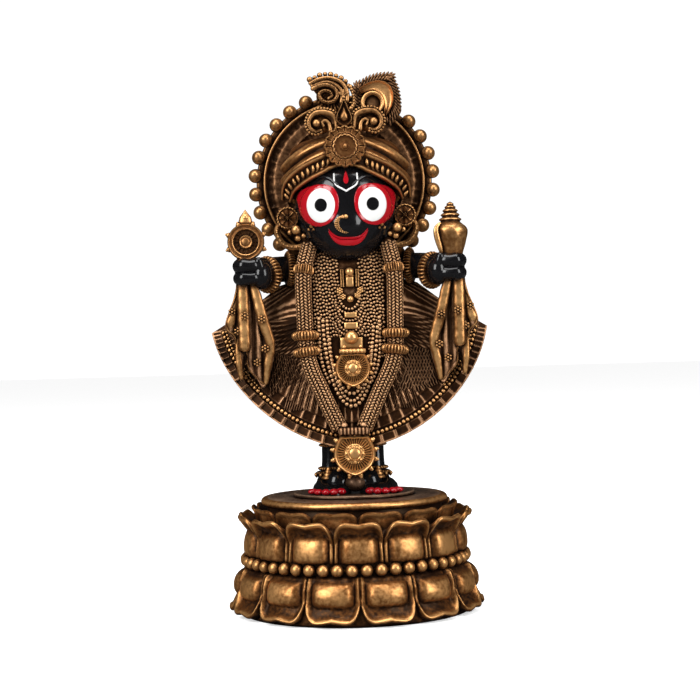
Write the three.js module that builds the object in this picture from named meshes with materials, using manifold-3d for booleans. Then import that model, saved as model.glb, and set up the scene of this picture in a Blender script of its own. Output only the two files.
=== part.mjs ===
// A Jagannath figure on a lotus plinth, cast in resin and painted antique gold and black.
// Millimetres, +Z up, the figure faces -Y, and the origin is the middle of the plinth's underside.

import * as THREE from "three";
import { mergeVertices } from "three/addons/utils/BufferGeometryUtils.js";
import Module from "manifold-3d";

const wasm = await Module();
wasm.setup();

// Lotus plinth, from the ground up
const FOOT_RADIUS = 40;
const FOOT_EDGE = 1.3;
const LOWER_ROW_HEIGHT = 14.4;
const LOWER_LIP_REACH = 3;
const LOWER_BULGE = 0.9;
const CHANNEL_RADIUS = 35.5;
const CHANNEL_HEIGHT = 3.9;
const PLINTH_BEADS = 50;
const BEAD_STAND_OUT = 1.2;
const PLINTH_BEAD_RADIUS = 1.8;
const UPPER_ROW_RADIUS = 36;
const UPPER_ROW_HEIGHT = 13.4;
const UPPER_LIP_REACH = 3.3;
const UPPER_BULGE = 1.5;
const INNER_ROW_INSET = 2.2;
const INNER_ROW_RISE = 1.6;
const INNER_LIP_REACH = 1.2;
const PETAL_THICKNESS = 0.8;
const PETAL_GROOVE = 1.2;
const SHOULDER_INSET = 2.2;
const SHOULDER_BULGE = 1.4;
const PETALS = 14;
const SEAT_NECK = 1.0;
const SEAT_OVERHANG = 2;
const SEAT_THICKNESS = 2.5;
const SEAT_ROUNDING = 0.7;

// How far the plinth is turned to the right under the figure, in degrees
const PLINTH_TURN = 1.6;

// Where the figure stands on the plinth
const MOUND_RADIUS = 20.5;
const SEAT_MARGIN = 10.8;
const GLUE_GAP = 0.3;

// The figure's height, from its underside to the tip of its plume
const FIGURE_HEIGHT = 141.6;

// The figure's form is laid out in shares of that height: 141.6 of them, so one is a millimetre
// at this size. x is across, y is forward of the middle, and z is above the figure's underside.
const SHARES = 141.6;
const MOUND = { height: 0.9, flattened: 0.92 };
const FOOT = { x: 9.8, y: 6.6, halfWidth: 5.8, halfLength: 8.6, height: 5.2, toe: 0.05 };
const LEG = { x: 7.1, radius: 3.4, intoSkirt: 6.2 };
const ANKLET = { place: 0.31, half: 0.09, radius: 5 };
const TOE_SASH = { z: 3.9, y: 7.5, radius: 3.4 };
const FAN = { z: 62.6, radius: 46.8, flat: 1, spread: 80.9, pleats: 20, fold: 0.5, band: 0.9 };
const FAN_DEPTH = { tip: 1.5, front: 13.4, back: 9.4, waist: 9 };
const SHOULDERS = { top: 77, line: [[1, 0], [0.82, 0.23], [0.65, 0.455], [0.5, 0.7], [0, 1]] };
const TRUNK = { z: 60, halfWidth: 17.5, front: 12.8, back: 10.5, halfHeight: 25, fullness: 0.55 };
const ROPE = { x: 15.1, y: 12.4, radius: 3.2, top: 83, turn: 46, foot: 3.6, aboveDrop: 8.5, lean: 1.6 };
const COLLAR = { places: [0.13, 0.46, 0.54], radius: 4.3, half: 0.026 };
const LOCKET = { z: 42.8, y: 14.2, halfWidth: 5.6, halfHeight: 4.5, thickness: 3.6, bar: 5.2 };
const DROP = { belowHem: 1.8, y: 15, halfWidth: 7.0, halfHeight: 6.4, thickness: 3.4, bar: 7.6 };
const PENDANT_BACK = 6;
const JEWEL = { x: 0.3, y: 13.4, top: 74.3, block: 70.4, lower: 52.4, radius: 2.3, halfWidth: 1.5 };
const STRAND = { halfWidth: 7.4, top: 61, bottom: 30.6, y: 13, lean: 1, radius: 1.1 };
const ARM = { z: 76, root: 13, elbow: 22, wrist: 27.5, radius: 4.4 };
const ARMLET = { place: 0.24, half: 0.07, radius: 6.9 };
const BANGLE = { place: 0.55, half: 0.06, radius: 6.4 };
const FIST = { x: 34, y: 12, z: 75.4, place: 0.76, radius: 5 };
const DISCUS = { x: 33.2, rise: 9.3, radius: 6.1, tooth: 1.0, hub: 2.3, half: 1.5, teeth: 8 };
const FLAME = { rise: 4.8, halfWidth: 2.5, root: 1.5 };
const CONCH = { x: 34.2, rise: 2.1, height: 18.7, radius: 5.5, sides: 8, lip: 0.9 };
const KERCHIEF = { y: 12.6, top: 73.5, thickness: 1.5, aside: 0.8, out: 1.2 };
const HEAD = { z: 94.5, y: 4, halfWidth: 17.3, front: 16, back: 8, halfHeight: 16.7, chin: 0.16, jaw: 0.5 };
const EYE = { x: 8.3, y: 14.4, rise: 1, size: [5.7, 5.3, 6.6] };
const NOSE = { y: 18, fall: 3.9, size: [4.4, 3, 5.4] };
const MOUTH = { halfWidth: 6.2, fall: 7.9, drop: 4.4, radius: 1.1 };
const TURBAN = { z: 106.5, y: 2, halfWidth: 20.9, front: 15.3, back: 8.5, rise: 14.4, fold: 0.03 };
const TURBAN_FULLNESS = 0.55;
const TURBAN_DROP = { front: 1.5, back: 20 };
const BROW_BAND = { halfWidth: 20.4, z: 99.5, rise: 11, y: 1.5, forward: 16.2, radius: 2.5 };
const ROSETTE = { z: 114.3, y: 16.0, radius: 6.8, thickness: 2.2 };
const EARRING = { x: 19.4, y: 8.6, z: 92.5, radius: 3.7, rim: 0.8, depth: 9 };
const EAR_HOOP = [[21.4, 5, 93], [23.6, 5, 88.4], [21.2, 5.4, 84], [16.6, 6, 82.6], [11, 7, 84.6]];
const EAR_HOOP_RADIUS = 1.2;
const HALO = { x: -0.4, z: 104.8, y: -2, radius: 28.9, rim: 1.8, back: 2.4, panels: 15, panel: 0.5 };
const HALO_BEADS = { count: 30, radius: 2.1, circle: 30.3 };
const CREST = { y: 12, bottom: 117, top: 131.6, halfWidth: 2.7, thickness: 3 };
const SCROLL = { x: 8.8, z: 123.2, radius: 4.1, rim: 0.8, depth: 9 };
const FEATHER = { y: 4, thickness: 3, arc: 0.9, fineness: 22 };
const FEATHER_EYE = { x: 9.75, z: 130.2, radius: 3.6, standOut: 1.2 };
const PLUME = { y: 4.6, thickness: 2.6, bead: 0.9, beads: 6, droop: 11, from: -9.3, to: 1.9, fineness: 18 };
const CURL = { x: -5.4, z: 133.3, radius: 3.1, rim: 0.7, depth: 2, standOut: 0.8 };

const FEATHER_EDGE = [
  [3.1, 136.3], [5.9, 138.4], [8.7, 139.6], [12.2, 140.4], [17, 140.4], [18.4, 137.6], [19.7, 130.6],
  [19.3, 127.1], [16.8, 123.4], [12, 117.5], [4, 117.5], [3.4, 128],
];
const FEATHER_ARC = [[5.6, 134], [8.6, 136.2], [12.7, 136.2], [15.9, 132], [15.3, 126.6]];
const PLUME_EDGE = [
  [2, 134.4], [0.9, 137.8], [-2.4, 139.6], [-6.4, 140.1], [-10.7, 138.7], [-10.3, 135.6], [-8.7, 132.4],
  [-6.2, 118], [2, 117.5],
];

// How finely the forms are faceted
const PETAL_STEPS = 4;
const LIMB_SIDES = 7;
const BEAD_SIDES = 6;
const BOSS_SIDES = 8;
const FAN_TOP_STEPS = 8;

const TURN = Math.PI * 2;
const both = [-1, 1];
const count = (n) => Array.from({ length: n }, (_, i) => i);
const clamp = (x, low = 0, high = 1) => Math.min(high, Math.max(low, x));
const mix = (a, b, t) => a + (b - a) * t;

// Turns a closed geometry into a solid, whichever way its faces run.
function solid(geometry) {
  const bare = geometry.clone();
  for (const name of Object.keys(bare.attributes)) {
    if (name !== "position") bare.deleteAttribute(name);
  }
  const merged = mergeVertices(bare, 1e-4);
  const points = merged.attributes.position;
  const corners = new Uint32Array(merged.index.array);
  const [a, b, c] = count(3).map(() => new THREE.Vector3());
  let volume = 0;
  for (let i = 0; i < corners.length; i += 3) {
    a.fromBufferAttribute(points, corners[i]);
    b.fromBufferAttribute(points, corners[i + 1]);
    c.fromBufferAttribute(points, corners[i + 2]);
    volume += a.dot(b.cross(c));
  }
  if (volume < 0) {
    for (let i = 0; i < corners.length; i += 3) {
      [corners[i + 1], corners[i + 2]] = [corners[i + 2], corners[i + 1]];
    }
  }
  return new wasm.Manifold(new wasm.Mesh({ numProp: 3, vertProperties: points.array, triVerts: corners }));
}

const join = (solids) => solids.reduce((whole, piece) => whole.add(piece));

// A closed skin: shape(turn, t) gives the point at a turn from 0 to 1, and t from pole to pole.
function skin(shape, around, along) {
  const geometry = new THREE.SphereGeometry(1, around, along);
  const { position, uv } = geometry.attributes;
  for (let i = 0; i < position.count; i++) {
    const t = 1 - uv.getY(i);
    const pole = t < 1e-6 || t > 1 - 1e-6;
    position.setXYZ(i, ...shape(pole ? 0 : uv.getX(i) % 1, t));
  }
  return solid(geometry);
}

// A round form with its half sizes across, forward and up.
function ball([x, y, z], [halfWidth, halfDepth, halfHeight], around = 10, along = 6) {
  return skin(
    (turn, t) => {
      const a = turn * TURN;
      const e = (t - 0.5) * Math.PI;
      return [
        x + halfWidth * Math.cos(e) * Math.sin(a),
        y - halfDepth * Math.cos(e) * Math.cos(a),
        z + halfHeight * Math.sin(e),
      ];
    },
    around,
    along,
  );
}

// An outline around a middle, where reach(angle) is its radius and angle 0 is straight up.
function polarOutline([x, y], reach, points) {
  return new THREE.Shape(
    count(points).map((i) => {
      const a = (i / points) * TURN;
      return new THREE.Vector2(x + reach(a) * Math.sin(a), y + reach(a) * Math.cos(a));
    }),
  );
}

// A round bar along a smooth curve through the points.
function bar(points, radius, stepsAlong, sides = LIMB_SIDES) {
  const path = new THREE.CatmullRomCurve3(points.map((p) => new THREE.Vector3(...p)));
  const section = polarOutline([0, 0], () => radius, sides);
  return solid(new THREE.ExtrudeGeometry(section, { steps: stepsAlong, extrudePath: path }));
}

// A round limb along a smooth route. Each of its rings gives a place along it and a radius there.
function limb(points, rings, sides, up = [0, 1, 0]) {
  const path = new THREE.CatmullRomCurve3(points.map((p) => new THREE.Vector3(...p)));
  const upward = new THREE.Vector3(...up);
  return skin(
    (turn, t) => {
      const [place, radius] = rings[Math.round(t * (rings.length - 1))];
      const along = path.getTangentAt(place);
      const across = along.clone().cross(upward).normalize();
      const over = across.clone().cross(along).normalize();
      const at = path.getPointAt(place);
      at.addScaledVector(across, radius * Math.cos(turn * TURN));
      return at.addScaledVector(over, radius * Math.sin(turn * TURN)).toArray();
    },
    sides,
    rings.length - 1,
  );
}

// A cuff on a limb, as the rings that it adds there.
const cuff = (place, half, bare, radius) => [
  [place - half, bare],
  [place - half * 0.5, radius],
  [place + half * 0.5, radius],
  [place + half, bare],
];

// A flat plate that faces the front, from an outline in x and z. Its face is at y forward.
function plate(outline, y, thickness) {
  const geometry = new THREE.ExtrudeGeometry(outline, { depth: thickness, bevelEnabled: false });
  return solid(geometry.rotateX(Math.PI / 2).translate(0, thickness - y, 0));
}

function smoothOutline(points, fineness) {
  const curve = new THREE.CatmullRomCurve3(points.map(([x, z]) => new THREE.Vector3(x, z, 0)), true);
  return new THREE.Shape(curve.getPoints(fineness).slice(1).map((p) => new THREE.Vector2(p.x, p.y)));
}

// A turned body whose rows each give a radius and a height for an angle from the front.
function turned(rows, segments) {
  const profile = rows.map((row) => new THREE.Vector2(...row(0)));
  const geometry = new THREE.LatheGeometry(profile, segments);
  const { position } = geometry.attributes;
  for (let i = 0; i < position.count; i++) {
    const step = Math.floor(i / rows.length) % segments;
    const angle = (step / segments) * TURN;
    const [r, z] = rows[i % rows.length](angle);
    position.setXYZ(i, r * Math.sin(angle), -r * Math.cos(angle), z);
  }
  return geometry;
}

const plain = (profile) => profile.map((point) => () => point);

// A turned body that faces the front: its heights reach forward, and angle 0 points down.
function facing(rows, segments, [x, y, z]) {
  return solid(turned(rows, segments).rotateX(Math.PI / 2).translate(x, -y, z));
}

// A small bead with six sides, which faces the front with a corner turned towards an angle.
function bead(x, y, z, r, angle = 0) {
  const stone = turned(plain([[0, -r], [r, 0], [0, r]]), BEAD_SIDES).rotateX(Math.PI / 2).rotateY(angle);
  return solid(stone.translate(x, y, z));
}

// A round boss with a raised rim, which faces the front.
function boss([x, y, z], { radius, rim, depth }) {
  const profile = [
    [0, -depth],
    [radius, -depth],
    [radius, 0],
    [radius - rim, 0],
    [radius - 2 * rim, -rim],
    [0, rim / 2],
  ];
  return facing(plain(profile), BOSS_SIDES, [x, y, z]);
}

// A petal's edge: 1 at its two lobes, a little less at the cusp between them, 0 between petals.
const lobes = (p) => 1 - Math.abs(p) ** 4 - 0.22 * clamp(1 - 2.6 * Math.abs(p));
const belly = (p) => Math.max(0, Math.cos((p * Math.PI) / 2)) ** 0.6;

// The place across a petal, from -1 to 1, at an angle from the front.
function acrossPetal(angle, shift) {
  const turns = (angle / TURN) * PETALS + 0.5 + shift;
  return 2 * (turns - Math.floor(turns + 1e-9)) - 1;
}

function lotusPlinth() {
  const beneath = FOOT_EDGE + LOWER_ROW_HEIGHT;
  const above = beneath + CHANNEL_HEIGHT;
  const groove = FOOT_RADIUS - PETAL_GROOVE;
  const upper = UPPER_ROW_RADIUS - PETAL_THICKNESS;
  const inner = UPPER_ROW_RADIUS - INNER_ROW_INSET;
  const neckZ = above + UPPER_ROW_HEIGHT + INNER_ROW_RISE;
  const innerZ = neckZ - INNER_LIP_REACH;
  const seatZ = neckZ + SEAT_NECK;
  const seatTop = seatZ + SEAT_THICKNESS;
  const seat = MOUND_RADIUS + SEAT_MARGIN;
  const low = (share) => FOOT_EDGE + share * LOWER_ROW_HEIGHT;
  const high = (share) => above + share * UPPER_ROW_HEIGHT;
  const petal = (shift, level) => (angle) => {
    const p = acrossPetal(angle, shift);
    return level(lobes(p), belly(p));
  };
  const rows = [
    ...plain([[0, 0], [FOOT_RADIUS - FOOT_EDGE, 0]]),
    petal(0.5, (tip) => [FOOT_RADIUS + LOWER_LIP_REACH * tip, low(0.1 - 0.04 * tip)]),
    petal(0.5, (tip) => [FOOT_RADIUS + LOWER_LIP_REACH * tip, low(0.36 - 0.2 * tip)]),
    petal(0.5, (tip, full) => [FOOT_RADIUS + PETAL_GROOVE * (full - 0.8), low(0.44 - 0.12 * tip)]),
    petal(0.5, (tip, full) => [groove + (PETAL_GROOVE + LOWER_BULGE) * full, low(0.6)]),
    petal(0.5, (tip, full) => [CHANNEL_RADIUS + SHOULDER_INSET + SHOULDER_BULGE * full, low(0.88)]),
    ...plain([[CHANNEL_RADIUS, beneath], [CHANNEL_RADIUS, above]]),
    petal(0, (tip, full) => [upper + (PETAL_THICKNESS + UPPER_BULGE) * full, high(0.26)]),
    petal(0, (tip, full) => [upper + PETAL_THICKNESS * full, high(0.56)]),
    petal(0, (tip) => [upper + (PETAL_THICKNESS + UPPER_LIP_REACH) * tip, high(0.6 + 0.3 * tip)]),
    petal(0, (tip) => [upper + UPPER_LIP_REACH * tip, high(0.64 + 0.34 * tip)]),
    ...plain([[inner - PETAL_THICKNESS, high(0.8)]]),
    petal(0.5, (tip) => [inner + INNER_LIP_REACH * (tip - 0.8), innerZ + 0.9 * tip]),
    petal(0.5, (tip) => [inner - PETAL_THICKNESS + INNER_LIP_REACH * (tip - 0.8), innerZ + 1.1 * tip]),
    ...plain([
      [seat - SEAT_OVERHANG, neckZ - INNER_ROW_RISE / 2],
      [seat, seatZ],
      [seat, seatTop - SEAT_ROUNDING],
      [seat - SEAT_ROUNDING, seatTop],
      [0, seatTop],
    ]),
  ];
  const beads = count(PLINTH_BEADS).map((i) => {
    const a = ((i + 0.5) / PLINTH_BEADS) * TURN;
    const r = CHANNEL_RADIUS + BEAD_STAND_OUT;
    const stud = new THREE.OctahedronGeometry(PLINTH_BEAD_RADIUS, 0).rotateZ(a);
    return solid(stud.translate(r * Math.sin(a), -r * Math.cos(a), (beneath + above) / 2));
  });
  const body = join([solid(turned(rows, PETALS * PETAL_STEPS)), ...beads]);
  return { body: body.rotate([0, 0, PLINTH_TURN]), top: seatTop };
}

function feetAndLegs() {
  const radius = (MOUND_RADIUS * SHARES) / FIGURE_HEIGHT;
  const reach = (a) => radius / Math.hypot(Math.sin(a), Math.cos(a) / MOUND.flattened);
  const mound = [
    () => [0, 0],
    (a) => [reach(a), 0],
    (a) => [reach(a) - MOUND.height / 2, MOUND.height],
    () => [0, MOUND.height],
  ];
  const pieces = [solid(turned(mound, 20))];
  const legTop = FAN.z - FAN.radius + LEG.intoSkirt;
  for (const side of both) {
    pieces.push(foot(side));
    const route = [
      [side * (LEG.x + 1.6), -1.5, 2 * MOUND.height],
      [side * LEG.x, 0, legTop / 2],
      [side * LEG.x, 0, legTop],
    ];
    const anklet = cuff(ANKLET.place, ANKLET.half, LEG.radius, ANKLET.radius);
    pieces.push(limb(route, [[0, 0], [0, LEG.radius], ...anklet, [1, LEG.radius], [1, 0]], LIMB_SIDES));
  }
  pieces.push(ball([0.4, -TOE_SASH.y, TOE_SASH.z], [3.4, TOE_SASH.radius, TOE_SASH.radius], 7, 4));
  return pieces;
}

// A foot whose front edge is scalloped into five toes.
function foot(side) {
  const around = 20;
  const levels = [[0, 0.1], [1, 0.1], [1, 0.5], [0.62, 0.88], [0, 1]];
  return skin(
    (turn, t) => {
      const [share, rise] = levels[Math.round(t * (levels.length - 1))];
      const a = turn * TURN;
      const toe = Math.cos(a) > 0.1 && Math.round(turn * around) % 2 ? 1 - FOOT.toe : 1 + FOOT.toe;
      const forward = FOOT.halfLength * share * Math.cos(a) * toe;
      return [side * FOOT.x + FOOT.halfWidth * share * Math.sin(a), -FOOT.y - forward, FOOT.height * rise];
    },
    around,
    levels.length - 1,
  );
}

// The edge of the skirt, round from one tip through the hem to the other and back by the shoulders.
function skirtEdge(step, hemSteps) {
  const limit = THREE.MathUtils.degToRad(FAN.spread);
  if (step <= hemSteps) {
    const angle = mix(limit, -limit, step / hemSteps);
    const low = clamp(Math.cos((angle / limit) * (Math.PI / 2)));
    const reach = FAN.radius - FAN.flat * Math.sin(Math.abs(angle / limit) * Math.PI);
    const z = FAN.z - reach * Math.cos(angle);
    return { x: reach * Math.sin(angle), z, low: low ** 0.8, hem: step < hemSteps && step > 0 };
  }
  const half = FAN_TOP_STEPS / 2;
  const back = step - hemSteps;
  const [out, up] = SHOULDERS.line[back <= half ? back : FAN_TOP_STEPS - back];
  const tip = FAN.radius * Math.sin(limit);
  const z = mix(FAN.z - FAN.radius * Math.cos(limit), SHOULDERS.top, up);
  return { x: (back < half ? -1 : 1) * out * tip, z, low: 0, hem: false };
}

// The pleated skirt: a dish that radiates from the chest to its hem and is thin at its two tips.
function skirt() {
  const hemSteps = FAN.pleats * 2;
  const around = hemSteps + FAN_TOP_STEPS;
  const levels = [0, 0.6, 0.88, 1, 1, 0.75, 0];
  const frontLevels = 4;
  return skin(
    (turn, t) => {
      const step = Math.round(turn * around);
      const level = Math.round(t * (levels.length - 1));
      const out = levels[level];
      const { x, z, low, hem } = skirtEdge(step, hemSteps);
      const fold = hem ? (step % 2 ? FAN.fold : -FAN.fold) : 0;
      const front = mix(FAN_DEPTH.tip, FAN_DEPTH.front, low);
      const back = mix(FAN_DEPTH.tip, FAN_DEPTH.back, low);
      const swell = out ** 1.6;
      const band = out > 0.95 ? FAN.band * low : 0;
      const forward = mix(FAN_DEPTH.waist, front, swell) + band + fold * out;
      const behind = mix(FAN_DEPTH.waist, back, swell) + fold * out;
      const spread = out === 1 ? 1 - (fold < 0 ? FAN.fold / FAN.radius : 0) : out;
      return [x * spread, level < frontLevels ? -forward : behind, mix(FAN.z, z, spread)];
    },
    around,
    levels.length - 1,
  );
}

// The trunk under the garlands, full across the chest and flatter behind.
function trunk() {
  return skin(
    (turn, t) => {
      const a = turn * TURN;
      const e = (t - 0.5) * Math.PI;
      const full = Math.cos(e) ** TRUNK.fullness;
      const depth = Math.cos(a) > 0 ? TRUNK.front : TRUNK.back;
      const across = Math.sign(Math.sin(a)) * Math.abs(Math.sin(a)) ** TRUNK.fullness;
      const forward = Math.sign(Math.cos(a)) * Math.abs(Math.cos(a)) ** TRUNK.fullness;
      return [
        TRUNK.halfWidth * full * across,
        -depth * full * forward,
        TRUNK.z + TRUNK.halfHeight * Math.sin(e),
      ];
    },
    12,
    6,
  );
}

function garlands() {
  const dropZ = FAN.z - FAN.radius - DROP.belowHem;
  const footZ = dropZ + ROPE.aboveDrop;
  const pieces = [];
  for (const side of both) {
    const x = side * ROPE.x;
    const route = [
      [x - side * 2, -ROPE.y + 3, ROPE.top],
      [x, -ROPE.y, ROPE.top - 9],
      [x, -ROPE.y, mix(ROPE.top, ROPE.turn, 0.6)],
      [x - side * 0.8, -ROPE.y - 0.6, ROPE.turn],
      [side * mix(ROPE.x, ROPE.foot, 0.5), -ROPE.y - ROPE.lean * 0.7, mix(ROPE.turn, footZ, 0.5)],
      [side * ROPE.foot, -ROPE.y - ROPE.lean, footZ],
    ];
    const collars = COLLAR.places.flatMap((place) => cuff(place, COLLAR.half, ROPE.radius, COLLAR.radius));
    const rings = [[0, 0], [0, ROPE.radius], ...collars, [0.8, ROPE.radius * 1.1], [1, ROPE.radius], [1, 0]];
    pieces.push(limb(route, rings, 6));
  }
  return [...pieces, ...jewelAndStrand(), ...pendant(LOCKET), ...pendant({ ...DROP, z: dropZ })];
}

// The jewel at the throat, its lower stud, and the strand that hangs round the locket.
function jewelAndStrand() {
  const { x, y, top, block, lower, radius, halfWidth } = JEWEL;
  const slab = new THREE.BoxGeometry(2 * halfWidth, PENDANT_BACK, top - block + 2 * radius);
  const strand = [-1, -0.8, 0, 0.8, 1].map((s) => {
    const drop = Math.sqrt(1 - s * s);
    return [x + s * STRAND.halfWidth, -STRAND.y - STRAND.lean * drop, mix(STRAND.top, STRAND.bottom, drop)];
  });
  return [
    solid(slab.translate(x, PENDANT_BACK / 2 - y, block)),
    ball([x, -y, top], [radius, radius, radius * 1.1], 7, 4),
    ball([x, -y, lower], [radius, radius, radius], 7, 4),
    bar(strand, STRAND.radius, 10, 4),
  ];
}

// A pendant: a fluted shield under a bar.
function pendant({ z, y, halfWidth, halfHeight, thickness, bar: barRise }) {
  const points = 12;
  const reach = (a) => {
    const down = (1 + Math.cos(a)) / 2;
    const point = down ** 6 * 0.12;
    return Math.hypot(halfWidth * Math.sin(a), halfHeight * Math.cos(a)) * (0.95 + point);
  };
  const flute = (a) => (Math.round((a / TURN) * points) % 2 ? 0.35 : -0.1);
  const rows = [
    () => [0, -PENDANT_BACK],
    (a) => [reach(a), -PENDANT_BACK],
    (a) => [reach(a), thickness * 0.7],
    (a) => [reach(a) * 0.8, thickness + flute(a)],
    (a) => [reach(a) * 0.34, thickness * 0.8],
    () => [0, thickness + 0.5],
  ];
  const strap = new THREE.BoxGeometry(halfWidth * 1.6, thickness + 2, 2.2);
  return [
    facing(rows, points, [0.3, y, z]),
    solid(strap.translate(0.3, -y - thickness / 2 + 0.8, z + barRise)),
  ];
}

function arms() {
  const armlet = cuff(ARMLET.place, ARMLET.half, ARM.radius, ARMLET.radius);
  const bangle = cuff(BANGLE.place, BANGLE.half, ARM.radius, BANGLE.radius);
  const fist = [[FIST.place, FIST.radius], [mix(FIST.place, 1, 0.7), FIST.radius * 0.85], [1, 0]];
  const rings = [[0, 0], [0, ARM.radius], ...armlet, ...bangle, ...fist];
  return both.map((side) => {
    const route = [
      [side * ARM.root, 0, ARM.z],
      [side * ARM.elbow, -2, ARM.z],
      [side * ARM.wrist, -FIST.y * 0.6, ARM.z - 0.6],
      [side * (FIST.x + 2), -FIST.y - 2.4, FIST.z],
    ];
    return limb(route, rings, 8, [0, 0, 1]);
  });
}

function discus() {
  const { x, rise, radius, tooth, hub, half, teeth } = DISCUS;
  const z = FIST.z + rise;
  const flame = z + radius + FLAME.rise;
  const foot = z + radius - FLAME.root;
  const shoulder = mix(z + radius, flame, 0.45);
  const edge = (a) => radius + tooth * (Math.cos(a * teeth) > 0 ? 1 : 0);
  const rows = [
    () => [0, -half],
    (a) => [edge(a) - 0.5, -half],
    (a) => [edge(a), 0],
    () => [radius - 1.2, half],
    () => [radius - 2, half - 1],
    () => [hub, half - 1],
    () => [hub * 0.7, half + 0.5],
    () => [0, half + 0.5],
  ];
  const tongue = [
    [-FLAME.halfWidth * 0.88, foot],
    [-FLAME.halfWidth, shoulder],
    [0, flame],
    [FLAME.halfWidth, shoulder],
    [FLAME.halfWidth * 0.88, foot],
  ];
  const outline = new THREE.Shape(tongue.map(([dx, up]) => new THREE.Vector2(dx - x, up)));
  return [facing(rows, teeth * 2, [-x, FIST.y, z]), plate(outline, FIST.y + half * 0.7, half * 1.4)];
}

function conch() {
  const whorls = [
    [0, 0], [0.6, 0], [0.72, 0.14], [0.94, 0.36], [1, 0.48], [0.84, 0.58], [0.62, 0.65],
    [0.7, 0.7], [0.46, 0.77], [0.52, 0.82], [0.3, 0.88], [0.34, 0.92], [0, 1],
  ];
  const level = (t) => FIST.z + CONCH.rise + t * CONCH.height;
  const profile = whorls.map(([r, t]) => [r * CONCH.radius, level(t)]);
  const body = turned(plain(profile), CONCH.sides).translate(CONCH.x, -FIST.y, 0);
  const flange = [[0.15, 0.62], [0.4, 0.87], [0.6, 0.58]];
  const lip = flange.map(([t, out]) => [CONCH.x - out * CONCH.radius, -FIST.y - 2.4, level(t)]);
  return [solid(body), bar(lip, CONCH.lip, 3, 5)];
}

// A kerchief that falls in folds from a fist. Each fold gives its x at the top and at the foot,
// the height of its foot and how far forward it stands.
function kerchief(side) {
  const folds = [
    [36.5, 41.7, 58.3, -0.6],
    [36.2, 37.8, 50.5, -1.6],
    [35.6, 37.8, 40.3, 0.8],
    [34.6, 35.6, 40.3, 1.2],
    [33.6, 33.8, 49, -1.6],
    [33, 33.5, 41.7, 0.4],
    [32.4, 29.8, 37.5, 1.4],
    [31.4, 25.4, 51.5, -0.4],
  ];
  const across = folds.length - 1;
  const geometry = new THREE.BoxGeometry(1, 1, 1, across, 1, 2);
  const { position } = geometry.attributes;
  for (let i = 0; i < position.count; i++) {
    const [top, foot, bottom, forward] = folds[Math.round((position.getX(i) + 0.5) * across)];
    const t = 0.5 - position.getZ(i);
    const x = KERCHIEF.aside + side * (mix(top, foot, t ** 0.8) + KERCHIEF.out);
    const y = -KERCHIEF.y - forward * (0.4 + 0.6 * t) + position.getY(i) * KERCHIEF.thickness;
    position.setXYZ(i, x, y, mix(KERCHIEF.top, bottom, t));
  }
  return solid(geometry);
}

// How far forward the face stands at a place on it.
function faceFront(x, z) {
  const level = Math.sqrt(1 - ((z - HEAD.z) / HEAD.halfHeight) ** 2);
  return HEAD.y + HEAD.front * level ** HEAD.jaw * Math.sqrt(1 - (x / HEAD.halfWidth) ** 2);
}

function head() {
  const face = skin(
    (turn, t) => {
      const a = turn * TURN;
      const e = (t - 0.5) * Math.PI;
      const wide = Math.cos(e) ** 0.8 * (1 - HEAD.chin * clamp(-Math.sin(e)));
      const deep = Math.cos(e) ** HEAD.jaw * (Math.cos(a) > 0 ? HEAD.front : HEAD.back);
      return [
        HEAD.halfWidth * wide * Math.sin(a),
        -HEAD.y - deep * Math.cos(a),
        HEAD.z + HEAD.halfHeight * Math.sin(e),
      ];
    },
    14,
    8,
  );
  const smile = [-1, -0.55, 0, 0.55, 1].map((s) => {
    const x = s * MOUTH.halfWidth;
    const z = HEAD.z - MOUTH.fall - MOUTH.drop * (1 - s * s);
    return [x, -faceFront(x, z), z];
  });
  const pieces = [face, ball([0, -NOSE.y, HEAD.z - NOSE.fall], NOSE.size, 8, 4), bar(smile, MOUTH.radius, 5, 4)];
  for (const side of both) {
    pieces.push(ball([side * EYE.x, -EYE.y, HEAD.z + EYE.rise], EYE.size, 8, 5));
    pieces.push(boss([side * EARRING.x, EARRING.y, EARRING.z], EARRING));
    pieces.push(bar(EAR_HOOP.map(([x, y, z]) => [side * x, -y, z]), EAR_HOOP_RADIUS, 4, 4));
  }
  return pieces;
}

// The turban is a dome that comes down to the brow in front and to the nape behind.
function turban() {
  const wound = skin(
    (turn, t) => {
      const a = turn * TURN;
      const e = (t - 0.5) * Math.PI;
      const fold = 1 + TURBAN.fold * Math.sin(a * 2 + t * 26) * Math.cos(e);
      const depth = Math.cos(a) > 0 ? TURBAN.front : TURBAN.back;
      const behind = (1 - Math.cos(a)) / 2;
      const drop = mix(TURBAN_DROP.front, TURBAN_DROP.back, t === 0 ? 0.5 : behind ** 1.2);
      const rise = Math.sin(e) > 0 ? TURBAN.rise : drop;
      const full = Math.cos(e) ** TURBAN_FULLNESS;
      return [
        TURBAN.halfWidth * fold * full * Math.sin(a),
        -TURBAN.y - depth * fold * full * Math.cos(a),
        TURBAN.z + rise * Math.sin(e),
      ];
    },
    16,
    7,
  );
  const brow = count(9).map((i) => {
    const a = (i / 8 - 0.5) * Math.PI;
    const lift = Math.cos(a);
    const y = -BROW_BAND.y - BROW_BAND.forward * lift ** 0.7;
    return [BROW_BAND.halfWidth * Math.sin(a), y, BROW_BAND.z + BROW_BAND.rise * lift];
  });
  const { z, y, radius, thickness } = ROSETTE;
  const scallops = 8;
  const edge = (a) => radius * (Math.round((a / TURN) * 2 * scallops) % 2 ? 1 : 0.93);
  const rosette = [
    () => [0, -2],
    (a) => [edge(a), -2],
    (a) => [edge(a), thickness * 0.6],
    () => [radius * 0.66, thickness],
    () => [radius * 0.46, thickness * 0.5],
    () => [0, thickness * 1.2],
  ];
  return [wound, bar(brow, BROW_BAND.radius, 10, 5), facing(rosette, 2 * scallops, [0.2, y, z])];
}

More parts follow.
